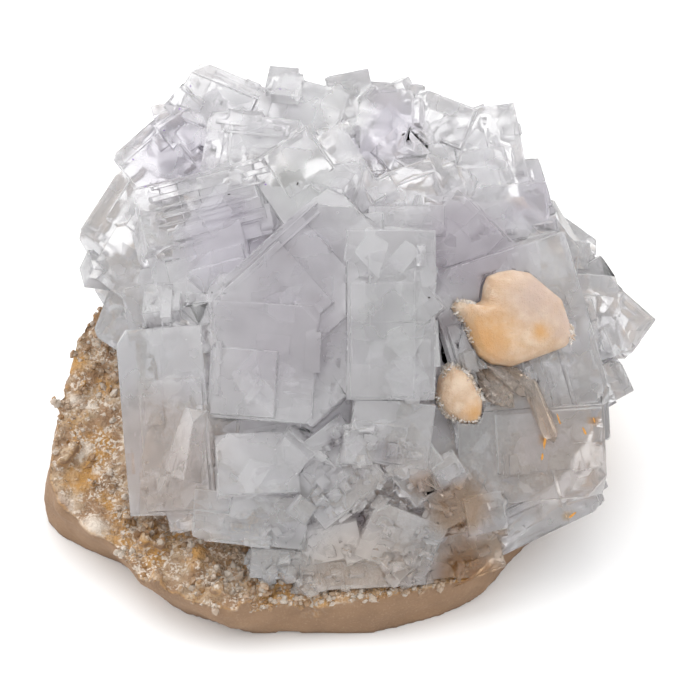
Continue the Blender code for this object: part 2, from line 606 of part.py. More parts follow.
def build_fluorite(finish):
    rng = random.Random(11)
    fluorite = finished("fluorite_cluster", core_lump(*CORE[0]), finish)
    cubes = bmesh.new()
    for lump in CORE[1:]:
        add_copy(cubes, core_lump(*lump))
    for cube in CUBES:
        fluorite_cube(cubes, rng, cube)
    back_cubes(cubes, rng)
    join_or_cut(fluorite, finished("fluorite_cubes", cubes, finish), "UNION", own_overlaps=True)
    weld(fluorite)
    join_or_cut(fluorite, room_for_the_others(finish), "DIFFERENCE")
    weld(fluorite)
    return solid(fluorite)


def main():
    clear_scene()
    rock = principled("matrix_rock", (0.42, 0.29, 0.18), 0.85)
    fluorite = principled("fluorite", (0.86, 0.85, 0.90), 0.12, transmission=0.75, ior=1.434)
    calcite = principled("calcite", (0.80, 0.50, 0.29), 0.45)
    smoky = principled("smoky_quartz", (0.42, 0.34, 0.29), 0.12, transmission=0.7, ior=1.544)
    build_matrix(rock)
    build_fluorite(fluorite)
    finished("calcite_large", calcite_large(), calcite, CALCITE_SMOOTH)
    finished("calcite_small", calcite_small(), calcite, CALCITE_SMOOTH)
    build_smoky_quartz(smoky)


main()
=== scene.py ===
import math
import random

import bmesh
import bpy
from mathutils import Matrix, Vector, noise
from mathutils.bvhtree import BVHTree


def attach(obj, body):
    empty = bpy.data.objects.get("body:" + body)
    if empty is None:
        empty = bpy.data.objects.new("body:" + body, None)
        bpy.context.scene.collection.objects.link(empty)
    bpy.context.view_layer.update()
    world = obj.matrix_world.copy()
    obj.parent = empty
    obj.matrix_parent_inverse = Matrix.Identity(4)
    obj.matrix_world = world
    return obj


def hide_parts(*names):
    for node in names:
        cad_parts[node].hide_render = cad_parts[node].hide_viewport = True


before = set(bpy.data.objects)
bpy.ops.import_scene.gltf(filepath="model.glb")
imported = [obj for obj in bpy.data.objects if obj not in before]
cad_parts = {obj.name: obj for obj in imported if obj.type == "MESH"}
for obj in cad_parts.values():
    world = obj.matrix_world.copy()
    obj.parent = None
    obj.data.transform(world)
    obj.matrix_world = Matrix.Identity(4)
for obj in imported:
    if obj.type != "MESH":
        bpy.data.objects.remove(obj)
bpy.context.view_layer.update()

# Camera
# A long lens looks down at the specimen from in front, square to its display face, which leans back.
# Places on that face are given across, up and out of it, in millimetres, as for the crystals themselves.
MM = 0.001
DISPLAY_LEAN = math.radians(45.0)
DISPLAY_ORIGIN = Vector((0.0, 13.2, 14.0)) * MM
ACROSS = Vector((1.0, 0.0, 0.0))
UP = Vector((0.0, math.sin(DISPLAY_LEAN), math.cos(DISPLAY_LEAN)))
OUT = Vector((0.0, -math.cos(DISPLAY_LEAN), math.sin(DISPLAY_LEAN)))
DISPLAY = Matrix.Translation(DISPLAY_ORIGIN) @ Matrix((ACROSS, UP, OUT)).transposed().to_4x4()
CAMERA_DISTANCE = 1.5
CAMERA_SENSOR = 36.0
VIEW_WIDTH = 116.67 * MM
VIEW_DEPTH = 20.0 * MM  # how far out of the display origin the view is that wide


def on_display(across, up, out):
    """The point across, up and out of the display face, from millimetres to the frame's metres."""
    return DISPLAY @ (MM * Vector((across, up, out)))


def linked(made):
    bpy.context.scene.collection.objects.link(made)
    return made


camera = linked(bpy.data.objects.new("camera", bpy.data.cameras.new("camera")))
camera.location = DISPLAY_ORIGIN + CAMERA_DISTANCE * OUT
camera.rotation_euler = (math.pi / 2 - DISPLAY_LEAN, 0.0, 0.0)
camera.data.sensor_width = CAMERA_SENSOR
camera.data.lens = CAMERA_SENSOR * (CAMERA_DISTANCE - VIEW_DEPTH) / VIEW_WIDTH
camera.data.clip_start = 0.1
camera.data.clip_end = 20.0
bpy.context.scene.camera = camera

# Light
# Two large soft boxes and an even white surround, as for a specimen photographed on white.
# Clear crystal passes light on many times, so the paths of light are let run long.
SOFT_BOXES = (  # name, place in metres, size in metres, watts
    ("overhead", (-0.25, 0.60, 1.20), 1.5, 11.0),
    ("left", (-1.10, 0.10, 0.65), 1.0, 4.5),
    ("right", (1.10, 0.20, 0.75), 1.0, 3.5),
)
SURROUND = 1.06
LIGHT_BOUNCES = 20
CLEAR_BOUNCES = 24

for name, place, size, power in SOFT_BOXES:
    lamp = linked(bpy.data.objects.new(name, bpy.data.lights.new(name, "AREA")))
    lamp.data.shape = "SQUARE"
    lamp.data.size = size
    lamp.data.energy = power
    lamp.location = place
    lamp.rotation_euler = (DISPLAY_ORIGIN - lamp.location).to_track_quat("-Z", "Y").to_euler()

scene = bpy.context.scene
scene.world = bpy.data.worlds.new("surround")
scene.world.use_nodes = True
scene.world.node_tree.nodes["Background"].inputs["Color"].default_value = (1.0, 1.0, 1.0, 1.0)
scene.world.node_tree.nodes["Background"].inputs["Strength"].default_value = SURROUND
scene.view_settings.view_transform = "Standard"
scene.cycles.max_bounces = LIGHT_BOUNCES
scene.cycles.transmission_bounces = LIGHT_BOUNCES
scene.cycles.transparent_max_bounces = CLEAR_BOUNCES


# Floor
# A plain white table top. It isn't part of the specimen.
FLOOR_SIZE = 8.0
FLOOR_COLOUR = (0.94, 0.94, 0.94, 1.0)


def finish(name, **values):
    """A new material with nodes, and its Principled shader. Each value is named as the shader's socket."""
    made = bpy.data.materials.new(name)
    made.use_nodes = True
    shader = made.node_tree.nodes["Principled BSDF"]
    for socket, value in values.items():
        shader.inputs[socket.replace("_", " ")].default_value = value
    return made, shader


bpy.ops.object.select_all(action="DESELECT")
bpy.ops.mesh.primitive_plane_add(size=FLOOR_SIZE, location=(0.0, 0.0, -0.1 * MM))
floor = bpy.context.object
floor.name = "floor"
floor.data.materials.append(finish("white_table_top", Base_Color=FLOOR_COLOUR, Roughness=0.9)[0])


# Matrix
# The rock that the crystals grew on: iron-stained quartz vein stuff, broken rough along its bare margin,
# with a smooth skin along the front, whose darker brown is partly painted shade. It is one lump.
ROCK_GRAIN = 0.55 * MM  # size of its mesh
ROCK_FLOOR = 0.35 * MM  # what is lower than this is part of the flat underside
BARE_CELLS = 2.9 * MM
BARE_RELIEF = 1.3 * MM
SKIN_RELIEF = 0.14 * MM
BACK_RELIEF = 1.0 * MM
BACK_CELLS = 7.0 * MM
BROKEN_RELIEF = 2.6 * MM
ROCK_BROWN = (0.34, 0.205, 0.115, 1.0)
ROCK_TAN = (0.54, 0.40, 0.27, 1.0)
ROCK_ORANGE = (0.50, 0.27, 0.085, 1.0)
ROCK_WHITE = (0.78, 0.68, 0.58, 1.0)
ROCK_BACK = (0.40, 0.27, 0.17, 1.0)
# The front skin's own brown, darkened by painted shade, in two tones that mottle.
ROCK_SHADED_SKIN = (0.27, 0.165, 0.095, 1.0)
ROCK_SHADED_SKIN_DARK = (0.215, 0.13, 0.075, 1.0)
ROCK_PEBBLE = (0.26, 0.145, 0.085, 1.0)
PEBBLE = (-48.2, -26.3, 2.4)  # across, up, reach, mm
KNOBS = ((-48.2, -26.3, 2.8), (-42.6, -29.2, 3.6), (-25.2, -33.8, 3.2), (-45.0, -3.0, 3.0))  # rounded lumps
KNOB_RISE = 0.9 * MM
WHITE_SPOTS = ((-42.6, -29.0, 2.6), (-46.4, -8.4, 1.6), (-44.0, -16.6, 1.2))  # across, up, reach, mm
ORANGE_SPOTS = (
    (-25.5, -33.6, 3.4), (-45.0, -22.0, 4.2), (-41.0, -6.0, 3.0), (-13.0, -40.0, 5.0), (6.0, -41.6, 4.2),
    (18.0, -38.6, 4.6), (-46.0, -2.0, 3.6), (-33.0, -30.6, 3.0),
)
RUST_EDGE = (0.02, 0.5)  # how far the surface turns up where the front's top edge is rusty


def select_only(piece):
    bpy.ops.object.select_all(action="DESELECT")
    piece.select_set(True)
    bpy.context.view_layer.objects.active = piece


def cad_copy(node, name):
    """A new piece with the shape of a solid, its loose triangles joined into whole faces."""
    piece = linked(bpy.data.objects.new(name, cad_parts[node].data.copy()))
    piece.data.materials.clear()
    select_only(piece)
    bpy.ops.object.mode_set(mode="EDIT")
    bpy.ops.mesh.select_all(action="SELECT")
    bpy.ops.mesh.remove_doubles(threshold=0.001 * MM)
    bpy.ops.mesh.dissolve_limited(angle_limit=math.radians(0.5))
    bpy.ops.object.mode_set(mode="OBJECT")
    return piece


def remeshed(piece, grain):
    """Gives a piece an even mesh of small squares."""
    select_only(piece)
    step = piece.modifiers.new("grain", "REMESH")
    step.mode = "VOXEL"
    step.voxel_size = grain
    bpy.ops.object.modifier_apply(modifier=step.name)
    return piece


def smooth_share(value, low, high):
    """0 at low and below, 1 at high and above, with an even ease between."""
    share = min(1.0, max(0.0, (value - low) / (high - low)))
    return share * share * (3.0 - 2.0 * share)


def cells(point, size):
    """Angular relief from 0 in the cracks to about 1 on the lumps."""
    nearest, second = noise.voronoi(point / size)[0][:2]
    return second - nearest


def shape_of(piece):
    """The piece's shape, for finding where it is."""
    mesh = bmesh.new()
    mesh.from_mesh(piece.data)
    tree = BVHTree.FromBMesh(mesh)
    mesh.free()
    return tree


def seen_at(tree, across, up):
    """The point of a shape that shows at a place of the display face, or else the nearest one to it."""
    hit = tree.ray_cast(on_display(across, up, 120.0), -OUT)[0]
    return hit or tree.find_nearest(on_display(across, up, 30.0))[0]


def add_node(tree, kind, inputs=None, **settings):
    """Adds a node. Its inputs are set to values, or linked where a socket is given."""
    made = tree.nodes.new(kind)
    for name, value in settings.items():
        setattr(made, name, value)
    for name, value in (inputs or {}).items():
        if isinstance(value, bpy.types.NodeSocket):
            tree.links.new(value, made.inputs[name])
        else:
            made.inputs[name].default_value = value
    return made


def new_group(name, numbers, vectors, result):
    """A node group with number and vector inputs and one number that it puts out."""
    tree = bpy.data.node_groups.new(name, "ShaderNodeTree")
    for label, kind in [(n, "NodeSocketFloat") for n in numbers] + [(v, "NodeSocketVector") for v in vectors]:
        tree.interface.new_socket(name=label, in_out="INPUT", socket_type=kind)
    tree.interface.new_socket(name=result, in_out="OUTPUT", socket_type="NodeSocketFloat")
    return tree, tree.nodes.new("NodeGroupInput").outputs, tree.nodes.new("NodeGroupOutput").inputs


def mottling_group():
    """Soft patches from 0 to 1, of a size in metres, with more or less fine detail and contrast."""
    tree, given, made = new_group("mottling", ("Size", "Detail", "Low", "High"), ("Shift",), "Amount")
    place = add_node(tree, "ShaderNodeTexCoord").outputs["Object"]
    moved = add_node(tree, "ShaderNodeVectorMath", {0: place, 1: given["Shift"]}, operation="ADD")
    scale = add_node(tree, "ShaderNodeMath", {0: 1.0, 1: given["Size"]}, operation="DIVIDE")
    patches = add_node(tree, "ShaderNodeTexNoise", {
        "Vector": moved.outputs[0], "Scale": scale.outputs[0], "Detail": given["Detail"],
    })
    spread = add_node(tree, "ShaderNodeMapRange", {
        "Value": patches.outputs["Fac"], "From Min": given["Low"], "From Max": given["High"],
    }, interpolation_type="SMOOTHSTEP")
    tree.links.new(spread.outputs["Result"], made["Amount"])
    return tree


def spot_group():
    """1 at a place, falling to 0 at its reach in metres, with a ragged edge."""
    tree, given, made = new_group("spot", ("Reach", "Ragged"), ("Place",), "Amount")
    place = add_node(tree, "ShaderNodeTexCoord").outputs["Object"]
    frayed = add_node(tree, "ShaderNodeTexNoise", {"Vector": place, "Scale": 700.0, "Detail": 3.0})
    apart = add_node(tree, "ShaderNodeVectorMath", {0: place, 1: given["Place"]}, operation="DISTANCE")
    centred = add_node(tree, "ShaderNodeMath", {0: frayed.outputs["Fac"], 1: 0.5}, operation="SUBTRACT")
    scaled = add_node(tree, "ShaderNodeMath", {0: given["Ragged"], 1: given["Reach"]}, operation="MULTIPLY")
    fray = add_node(tree, "ShaderNodeMath", {
        0: centred.outputs[0], 1: scaled.outputs[0], 2: apart.outputs["Value"],
    }, operation="MULTIPLY_ADD")
    near = add_node(tree, "ShaderNodeMapRange", {
        "Value": fray.outputs[0], "From Min": given["Reach"], "From Max": 0.0,
    }, interpolation_type="SMOOTHSTEP")
    tree.links.new(near.outputs["Result"], made["Amount"])
    return tree


MOTTLING = mottling_group()
SPOT = spot_group()


def mottling(tree, size, low=0.4, high=0.6, detail=4.0, shift=0.0):
    """A socket with soft patches over the piece."""
    made = add_node(tree, "ShaderNodeGroup", node_tree=MOTTLING)
    for name, value in (("Size", size), ("Detail", detail), ("Low", low), ("High", high)):
        made.inputs[name].default_value = value
    made.inputs["Shift"].default_value = (shift, shift, shift)
    return made.outputs["Amount"]


def spot(tree, place, reach, ragged=1.0):
    """A socket with a mask round a place in metres."""
    made = add_node(tree, "ShaderNodeGroup", node_tree=SPOT)
    made.inputs["Place"].default_value = place
    made.inputs["Reach"].default_value = reach
    made.inputs["Ragged"].default_value = ragged
    return made.outputs["Amount"]


def tinted(tree, share, under, over, blend="MIX"):
    """A colour socket: over laid on under by a share. Either may be a colour or a socket."""
    made = add_node(tree, "ShaderNodeMix", {0: share, 6: under, 7: over}, data_type="RGBA", blend_type=blend)
    return made.outputs[2]


def number(tree, operation, first, second):
    return add_node(tree, "ShaderNodeMath", {0: first, 1: second}, operation=operation).outputs[0]


def bumped(tree, shader, height, rise):
    """Roughens the surface by a height socket, which stands for a rise in metres."""
    bump = add_node(tree, "ShaderNodeBump", {"Height": height, "Distance": rise, "Strength": 1.0})
    tree.links.new(bump.outputs["Normal"], shader.inputs["Normal"])


rock = remeshed(cad_copy("matrix", "matrix_rock"), ROCK_GRAIN)
bare = rock.data.attributes.new("bare", "FLOAT", "POINT")
rear = rock.data.attributes.new("back", "FLOAT", "POINT")
rock_shape = shape_of(rock)
knobs = [(seen_at(rock_shape, across, up), reach * MM) for across, up, reach in KNOBS]
surface = [(vert, vert.co.copy(), vert.normal.copy()) for vert in rock.data.vertices]
for vert, place, facing in surface:
    top = smooth_share(facing.z, 0.2, 0.65)
    bare.data[vert.index].value = top
    if place.z < ROCK_FLOOR:
        vert.co.z = 0.0
        continue
    back = smooth_share(place.y, -8.0 * MM, 12.0 * MM)
    rear.data[vert.index].value = back
    side = SKIN_RELIEF + (BACK_RELIEF - SKIN_RELIEF) * back
    lumps = cells(place, BARE_CELLS) - 0.35 + 0.6 * (cells(place, 0.45 * BARE_CELLS) - 0.35)
    grit = noise.fractal(place / (1.2 * MM), 1.0, 2.0, 3)
    broken = back * BROKEN_RELIEF * (cells(place, BACK_CELLS) - 0.5)
    rise = top * BARE_RELIEF * lumps + (1.0 - top) * (side * (0.6 * grit + 0.8 * lumps) + broken)
    for middle, reach in knobs:
        dome = 1.0 - smooth_share((place - middle).length, 0.0, reach)
        rise = rise * (1.0 - dome) + KNOB_RISE * dome
    vert.co = place + facing * rise * smooth_share(place.z, 0.0, 1.5 * MM)
rock.data.shade_smooth()
rock_shape = shape_of(rock)

rock_finish, shader = finish("rock", Roughness=0.8)
tree = rock_finish.node_tree
bare_share = add_node(tree, "ShaderNodeAttribute", attribute_name="bare").outputs["Fac"]
colour = tinted(tree, mottling(tree, 5.0 * MM, 0.42, 0.62), ROCK_BROWN, ROCK_TAN)
colour = tinted(tree, mottling(tree, 7.5 * MM, 0.52, 0.66, shift=0.3), colour, ROCK_ORANGE)
colour = tinted(tree, mottling(tree, 1.4 * MM, 0.55, 0.66, shift=0.6), colour, ROCK_WHITE)
colour = tinted(tree, mottling(tree, 0.7 * MM, 0.3, 0.5, shift=0.9), ROCK_BROWN, colour)
sugar = number(tree, "MULTIPLY", mottling(tree, 0.5 * MM, 0.5, 0.6, shift=0.15), mottling(tree, 4.0 * MM, 0.4, 0.6, shift=0.35))
colour = tinted(tree, sugar, colour, ROCK_WHITE)
for across, up, reach in ORANGE_SPOTS:
    place = seen_at(rock_shape, across, up)
    colour = tinted(tree, spot(tree, place, reach * MM, 1.6), colour, ROCK_ORANGE)
for across, up, reach in WHITE_SPOTS:
    place = seen_at(rock_shape, across, up)
    colour = tinted(tree, spot(tree, place, 1.5 * reach * MM, 0.8), colour, ROCK_WHITE)
place = seen_at(rock_shape, *PEBBLE[:2])
colour = tinted(tree, spot(tree, place, 1.5 * PEBBLE[2] * MM, 0.3), colour, ROCK_WHITE)
colour = tinted(tree, spot(tree, place, 1.2 * PEBBLE[2] * MM, 0.2), colour, ROCK_PEBBLE)
# The front skin's colour, partly painted shade, with specks, the back's broken patches and the rusty top edge laid
# on.
skin_and_shade = tinted(tree, mottling(tree, 9.0 * MM, 0.35, 0.65, 6.0), ROCK_SHADED_SKIN, ROCK_SHADED_SKIN_DARK)
skin_and_shade = tinted(tree, mottling(tree, 0.4 * MM, 0.5, 1.2, shift=0.2), skin_and_shade, ROCK_TAN)
ragged = number(tree, "ADD", bare_share, number(tree, "MULTIPLY", mottling(tree, 2.0 * MM, 0.3, 0.7), 0.3))
rusty = add_node(tree, "ShaderNodeMapRange", {
    "Value": ragged, "From Min": RUST_EDGE[0] + 0.3, "From Max": RUST_EDGE[1] + 0.3,
}).outputs["Result"]
veined = add_node(tree, "ShaderNodeAttribute", attribute_name="back").outputs["Fac"]
patches = number(tree, "MULTIPLY", veined, mottling(tree, 9.0 * MM, 0.25, 0.75, 6.0, shift=0.5))
skin_and_shade = tinted(tree, patches, skin_and_shade, ROCK_BACK)
patches = number(tree, "MULTIPLY", veined, mottling(tree, 4.0 * MM, 0.5, 0.85, 6.0, shift=0.8))
skin_and_shade = tinted(tree, patches, skin_and_shade, ROCK_ORANGE)
patches = number(tree, "MULTIPLY", veined, mottling(tree, 1.5 * MM, 0.5, 0.9, 6.0, shift=0.65))
skin_and_shade = tinted(tree, patches, skin_and_shade, ROCK_WHITE)
skin_and_shade = tinted(tree, rusty, skin_and_shade, ROCK_ORANGE)
# Upward faces take the bare colours, and the front takes the skin's colour with its painted shade.
tree.links.new(tinted(tree, bare_share, skin_and_shade, colour), shader.inputs["Base Color"])
grit = number(tree, "ADD", mottling(tree, 0.45 * MM, 0.2, 0.8, 8.0), mottling(tree, 1.6 * MM, 0.2, 0.8, 8.0))
rough_share = number(tree, "ADD", number(tree, "MAXIMUM", bare_share, veined), 0.3)
bumped(tree, shader, number(tree, "MULTIPLY", grit, rough_share), 0.25 * MM)
rock.data.materials.append(rock_finish)
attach(rock, "root")
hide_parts("matrix")


# Fluorite
# Clear to milky cubes, faintly lilac, that grew through each other as one mass. Growth steps, parallel
# crystals and cleaved chips cover them, and cleavage planes and cloudy zones show inside.
EDGE_BEVEL = 0.12 * MM
SHORTEST_BEVELLED = 0.8 * MM
SHARP = math.radians(25.0)
LARGEST_FACET = 2.0 * MM
CUT_ROUNDS = 5
WAVE, WAVE_SIZE = 0.06 * MM, 9.0 * MM
RIPPLE, RIPPLE_SIZE = 0.015 * MM, 2.2 * MM
CHIP, CHIP_SIZE = 0.2 * MM, 1.1 * MM
FLAT_STEPS, BLOCK_STEPS, FROST_CHIPS = 120, 110, 260
FLAT_STEP_RISE = (0.05, 0.16)  # mm
BLOCK_STEP_RISE = (0.15, 0.8)  # mm
PULLED_IN = 0.3  # how far a growth step is drawn from its chance place to the face's middle
FROST_PLACES = (  # where the crystals are frosted with tiny chips: across, up, reach, mm
    (2.0, -22.0, 10.0), (-2.0, -36.0, 10.0), (12.0, -33.0, 10.0), (20.0, -27.0, 7.0), (-25.0, 4.0, 5.0),
    (-14.0, -36.0, 7.0), (24.0, -3.0, 6.0),
)
RIDGES = (  # across, up; lean, swing, roll in degrees; width, height, rise in mm
    (-23.6, 29.2, 8, -14, 14.4, 20.0, 0.5, 0.21), (-23.4, 27.4, 8, -14, 14.4, 21.0, 0.9, 0.18),
    (-23.2, 25.6, 8, -14, 14.4, 19.0, 0.4, 0.24), (-24.0, 24.1, 8, -14, 14.4, 17.0, 0.8, 0.18),
    (-25.0, 22.2, 8, -14, 14.4, 15.0, 0.5, 0.21), (-23.0, 20.2, 8, -14, 14.4, 18.0, 1.0, 0.18),
    (-24.6, 18.2, 8, -14, 14.4, 14.0, 0.5, 0.18), (-14.2, 18.4, 2, -6, 42, 22.0, 0.5, 0.15),
    (-13.2, 17.4, 2, -6, 42, 21.0, 0.4, 0.15), (-12.2, 16.4, 2, -6, 42, 19.0, 0.5, 0.12),
    (-16.4, 37.4, 12, -10, -6, 12.0, 0.7, 0.30), (-16.0, 35.9, 12, -10, -6, 10.0, 0.5, 0.24),
    (-21.6, 34.0, 12, -10, -6, 0.8, 8.0, 0.30), (-20.0, 33.4, 12, -10, -6, 0.6, 6.4, 0.24),
    (37.2, 8.6, 14, 16, 17.4, 3.0, 3.0, 0.24), (37.0, 6.6, 14, 16, 17.4, 3.6, 2.2, 0.42),
    (6.9, 4.6, -3, 5, 0, 13.0, 0.3, 0.09), (3.2, 5.0, -3, 5, 0, 0.35, 22.0, 0.09),
    (10.6, 3.0, -3, 5, 0, 0.3, 20.0, 0.12), (4.4, 12.0, -3, 5, 0, 6.0, 0.3, 0.12),
    (31.6, -13.0, -2, 16, 17.4, 0.5, 24.0, 0.18), (34.0, -6.0, -2, 16, 17.4, 0.4, 26.0, 0.18),
    (36.2, -5.0, -2, 16, 17.4, 0.6, 24.0, 0.24), (-23.6, -14.0, -4, -34, 3, 1.2, 10.0, 0.24),
    (-21.8, -3.0, -4, -11, -4, 1.0, 9.0, 0.24), (-11.0, -12.4, 2, -6, 10, 14.0, 0.7, 0.30),
)
CLOUDS = (  # cloudy zones: middle (across, up, out), half sizes, mm
    ((-7.0, 4.0, 11.0), (24.0, 24.0, 16.0)),
    ((18.0, 8.0, 8.0), (13.0, 17.0, 13.0)),
    ((-9.0, -16.0, 16.0), (14.0, 11.0, 12.0)),
    ((-2.0, -32.0, 26.0), (11.0, 6.0, 5.0)),
)
CLOUD_UNEVEN = 0.25
CLOUD_LUMPS = 8.0 * MM
CLOUD_DEPTH = 0.8 * MM  # how far under the surface a cloudy zone stays
VEILS = 190
VEIL_TRIES = 5
VEIL_SIZE = (1.4, 6.0)  # mm, smallest and largest reach from its middle
VEIL_DEPTH = (0.6, 7.0)  # mm under a face
VEIL_THICKNESS = 0.05 * MM
VEIL_LIGHT = (0.95, 0.95, 0.97)
VEIL_DARK = (0.50, 0.47, 0.52)
VEIL_ALPHA = (0.06, 0.33)
NARROW = 0.26 * MM  # faces narrower than this are worn edges
WORN_SIZE = 4.0 * MM  # reach of a stretch of worn edges
DULLEST = 0.88  # how much light the dullest crystal face gives back of what the brightest does
CLEAR_PLACES = (  # where the crystals are clearest: across, up, reach, mm
    (19.0, -26.0, 9.0), (18.0, -37.0, 9.0), (32.0, -14.0, 8.0), (40.0, -14.0, 8.0),
)
CLEAVAGE = math.radians(54.7)  # between a cube's face and the planes it cleaves along
FLUORITE_CLEAR = (0.95, 0.95, 0.955, 1.0)
FLUORITE_TINTS = (  # across, up, reach in mm, colour
    (-29.0, 32.0, 11.0, (0.82, 0.795, 0.865)), (5.0, 37.0, 9.0, (0.93, 0.90, 0.98)),
    (20.0, 17.0, 12.0, (0.735, 0.69, 0.74)), (-20.0, 18.0, 11.0, (0.90, 0.87, 0.94)),
    (31.0, 26.0, 8.0, (0.94, 0.91, 0.98)), (-40.0, 20.0, 9.0, (0.84, 0.84, 0.84)),
    (-19.0, 42.0, 10.0, (0.80, 0.80, 0.81)), (40.0, 6.0, 8.0, (0.99, 0.99, 0.99)), (-11.0, 3.0, 15.0, (0.76, 0.735, 0.765)),
    (-9.0, 16.0, 12.0, (0.76, 0.74, 0.775)),
    (7.0, 6.0, 9.0, (0.91, 0.925, 0.91)), (-8.0, 27.0, 8.0, (0.96, 0.98, 0.96)),
    (-2.0, 40.0, 8.0, (0.99, 1.0, 0.99)), (24.0, 30.0, 8.0, (0.98, 0.98, 0.99)),
    (-32.0, -18.0, 16.0, (0.81, 0.73, 0.68)), (34.0, -18.0, 13.0, (0.98, 0.90, 0.84)),
    (6.0, -22.0, 12.0, (0.99, 0.96, 0.94)), (2.0, -38.0, 14.0, (0.98, 0.89, 0.81)),
    # The orange-brown tints round (18, -26), (20, -37) and (24, -32), where the crystal is clearest, are painted
    # see-through: the brown rock below, painted into the crystal's colour.
    (18.0, -26.0, 7.0, (0.80, 0.58, 0.40)), (12.0, -22.0, 3.0, (0.80, 0.62, 0.50)),
    (20.0, -37.0, 9.0, (0.62, 0.37, 0.18)), (24.0, -32.0, 5.0, (0.84, 0.66, 0.50)),
    (-24.0, -33.0, 5.0, (0.93, 0.82, 0.70)), (32.2, -15.0, 0.9, (0.90, 0.45, 0.10)),
    (34.4, -11.0, 0.7, (0.90, 0.42, 0.10)), (34.6, -12.8, 0.7, (0.90, 0.42, 0.10)),
    (38.6, -13.4, 0.7, (0.90, 0.48, 0.15)), (40.4, -11.8, 0.6, (0.90, 0.45, 0.12)),
    (36.0, -27.6, 1.2, (0.90, 0.6, 0.3)), (1.9, -28.0, 2.3, (0.34, 0.29, 0.30)),
    (-2.2, -15.4, 2.2, (0.55, 0.53, 0.55)), (-10.4, 16.0, 3.0, (0.66, 0.63, 0.66)),
    (-5.6, 8.3, 2.0, (0.66, 0.63, 0.66)), (6.0, -17.0, 3.0, (0.70, 0.68, 0.70)),
    (15.6, 4.0, 3.0, (0.60, 0.55, 0.56)),
)


def turned(lean, swing, roll):
    """How a crystal is turned on the display face, from its lean, swing and roll in degrees."""
    swung = Matrix.Rotation(math.radians(swing), 4, "Y")
    leant = Matrix.Rotation(math.radians(-lean), 4, "X")
    return swung @ leant @ Matrix.Rotation(math.radians(roll), 4, "Z")


def bevel_sharp(piece, width, shortest, sharp):
    """Bevels a piece's sharp edges, apart from the shortest."""
    select_only(piece)
    bpy.ops.object.mode_set(mode="EDIT")
    bpy.ops.mesh.select_all(action="DESELECT")
    mesh = bmesh.from_edit_mesh(piece.data)
    for edge in mesh.edges:
        edge.select_set(edge.calc_face_angle(0.0) > sharp and edge.calc_length() > shortest)
    bmesh.update_edit_mesh(piece.data)
    bpy.ops.mesh.bevel(offset=width, segments=1, clamp_overlap=False, affect="EDGES")
    bpy.ops.object.mode_set(mode="OBJECT")


def block(middle, turn, size, sunk):
    """A block of growth that stands on a point of a face, as the matrix that makes it of a unit cube."""
    deep = Matrix.Translation((0.0, 0.0, size[2] / 2 - sunk))
    return Matrix.Translation(middle) @ turn @ deep @ Matrix.Diagonal((*size, 1.0))


def apart(one, other):
    """True if two blocks stay clear of each other along the side of one of them."""
    gap = other.translation - one.translation
    edges = [edge.to_3d() for edge in (*one.col[:3], *other.col[:3])]
    if gap.length > sum(edge.length for edge in edges) / 2:
        return True
    axes = [edge.normalized() for edge in edges]
    return any(abs(gap.dot(axis)) > sum(abs(edge.dot(axis)) for edge in edges) / 2 for axis in axes)


def grown_on(piece, blocks):
    """Joins blocks to a piece as one closed solid, those that touch each other in turn."""
    batches = []
    for shape in blocks:
        free = (batch for batch in batches if all(apart(shape, other) for other in batch))
        batch = next(free, None)
        if batch is None:
            batch = []
            batches.append(batch)
        batch.append(shape)
    for batch in batches:
        mesh = bmesh.new()
        for shape in batch:
            bmesh.ops.create_cube(mesh, size=1.0, matrix=shape)
        grown = linked(bpy.data.objects.new("grown", bpy.data.meshes.new("grown")))
        mesh.to_mesh(grown.data)
        mesh.free()
        select_only(piece)
        join = piece.modifiers.new("grown", "BOOLEAN")
        join.operation = "UNION"
        join.solver = "MANIFOLD"
        join.object = grown
        bpy.ops.object.modifier_apply(modifier=join.name)
        bpy.data.objects.remove(grown)
    piece.data.materials.clear()


def map_faces(piece, name):
    """Gives each flat face a UV map in metres along its longest edge, for lines that follow the crystal."""
    mesh = bmesh.new()
    mesh.from_mesh(piece.data)
    layer = mesh.loops.layers.uv.new(name)
    for face in mesh.faces:
        longest = max(face.edges, key=lambda edge: edge.calc_length())
        along = (longest.verts[1].co - longest.verts[0].co).normalized()
        aside = face.normal.cross(along)
        for loop in face.loops:
            loop[layer].uv = (loop.vert.co.dot(along), loop.vert.co.dot(aside))
    mesh.to_mesh(piece.data)
    mesh.free()


def cut_finer(piece, longest, rounds):
    """Halves the edges that are longer than longest, and again those that stay so, for some rounds."""
    select_only(piece)
    bpy.ops.object.mode_set(mode="EDIT")
    for _ in range(rounds):
        bpy.ops.mesh.select_all(action="SELECT")
        bpy.ops.mesh.quads_convert_to_tris()
        bpy.ops.mesh.select_all(action="DESELECT")
        mesh = bmesh.from_edit_mesh(piece.data)
        for edge in mesh.edges:
            edge.select_set(edge.calc_length() > longest)
        bmesh.update_edit_mesh(piece.data)
        bpy.ops.mesh.subdivide(number_cuts=1)
    bpy.ops.object.mode_set(mode="OBJECT")


def wear(piece):
    """Makes the faces a little uneven and chips the sharp edges here and there."""
    mesh = bmesh.new()
    mesh.from_mesh(piece.data)
    mesh.normal_update()
    moves = []
    for vert in mesh.verts:
        wave = noise.noise(vert.co / WAVE_SIZE) * WAVE + noise.noise(vert.co / RIPPLE_SIZE) * RIPPLE
        bend = max((edge.calc_face_angle_signed(0.0) for edge in vert.link_edges), default=0.0)
        chip = smooth_share(noise.noise(vert.co / CHIP_SIZE), 0.2, 0.8) * CHIP if bend > SHARP else 0.0
        moves.append(vert.normal * (wave - chip))
    for vert, move in zip(mesh.verts, moves):
        vert.co += move
    mesh.to_mesh(piece.data)
    mesh.free()


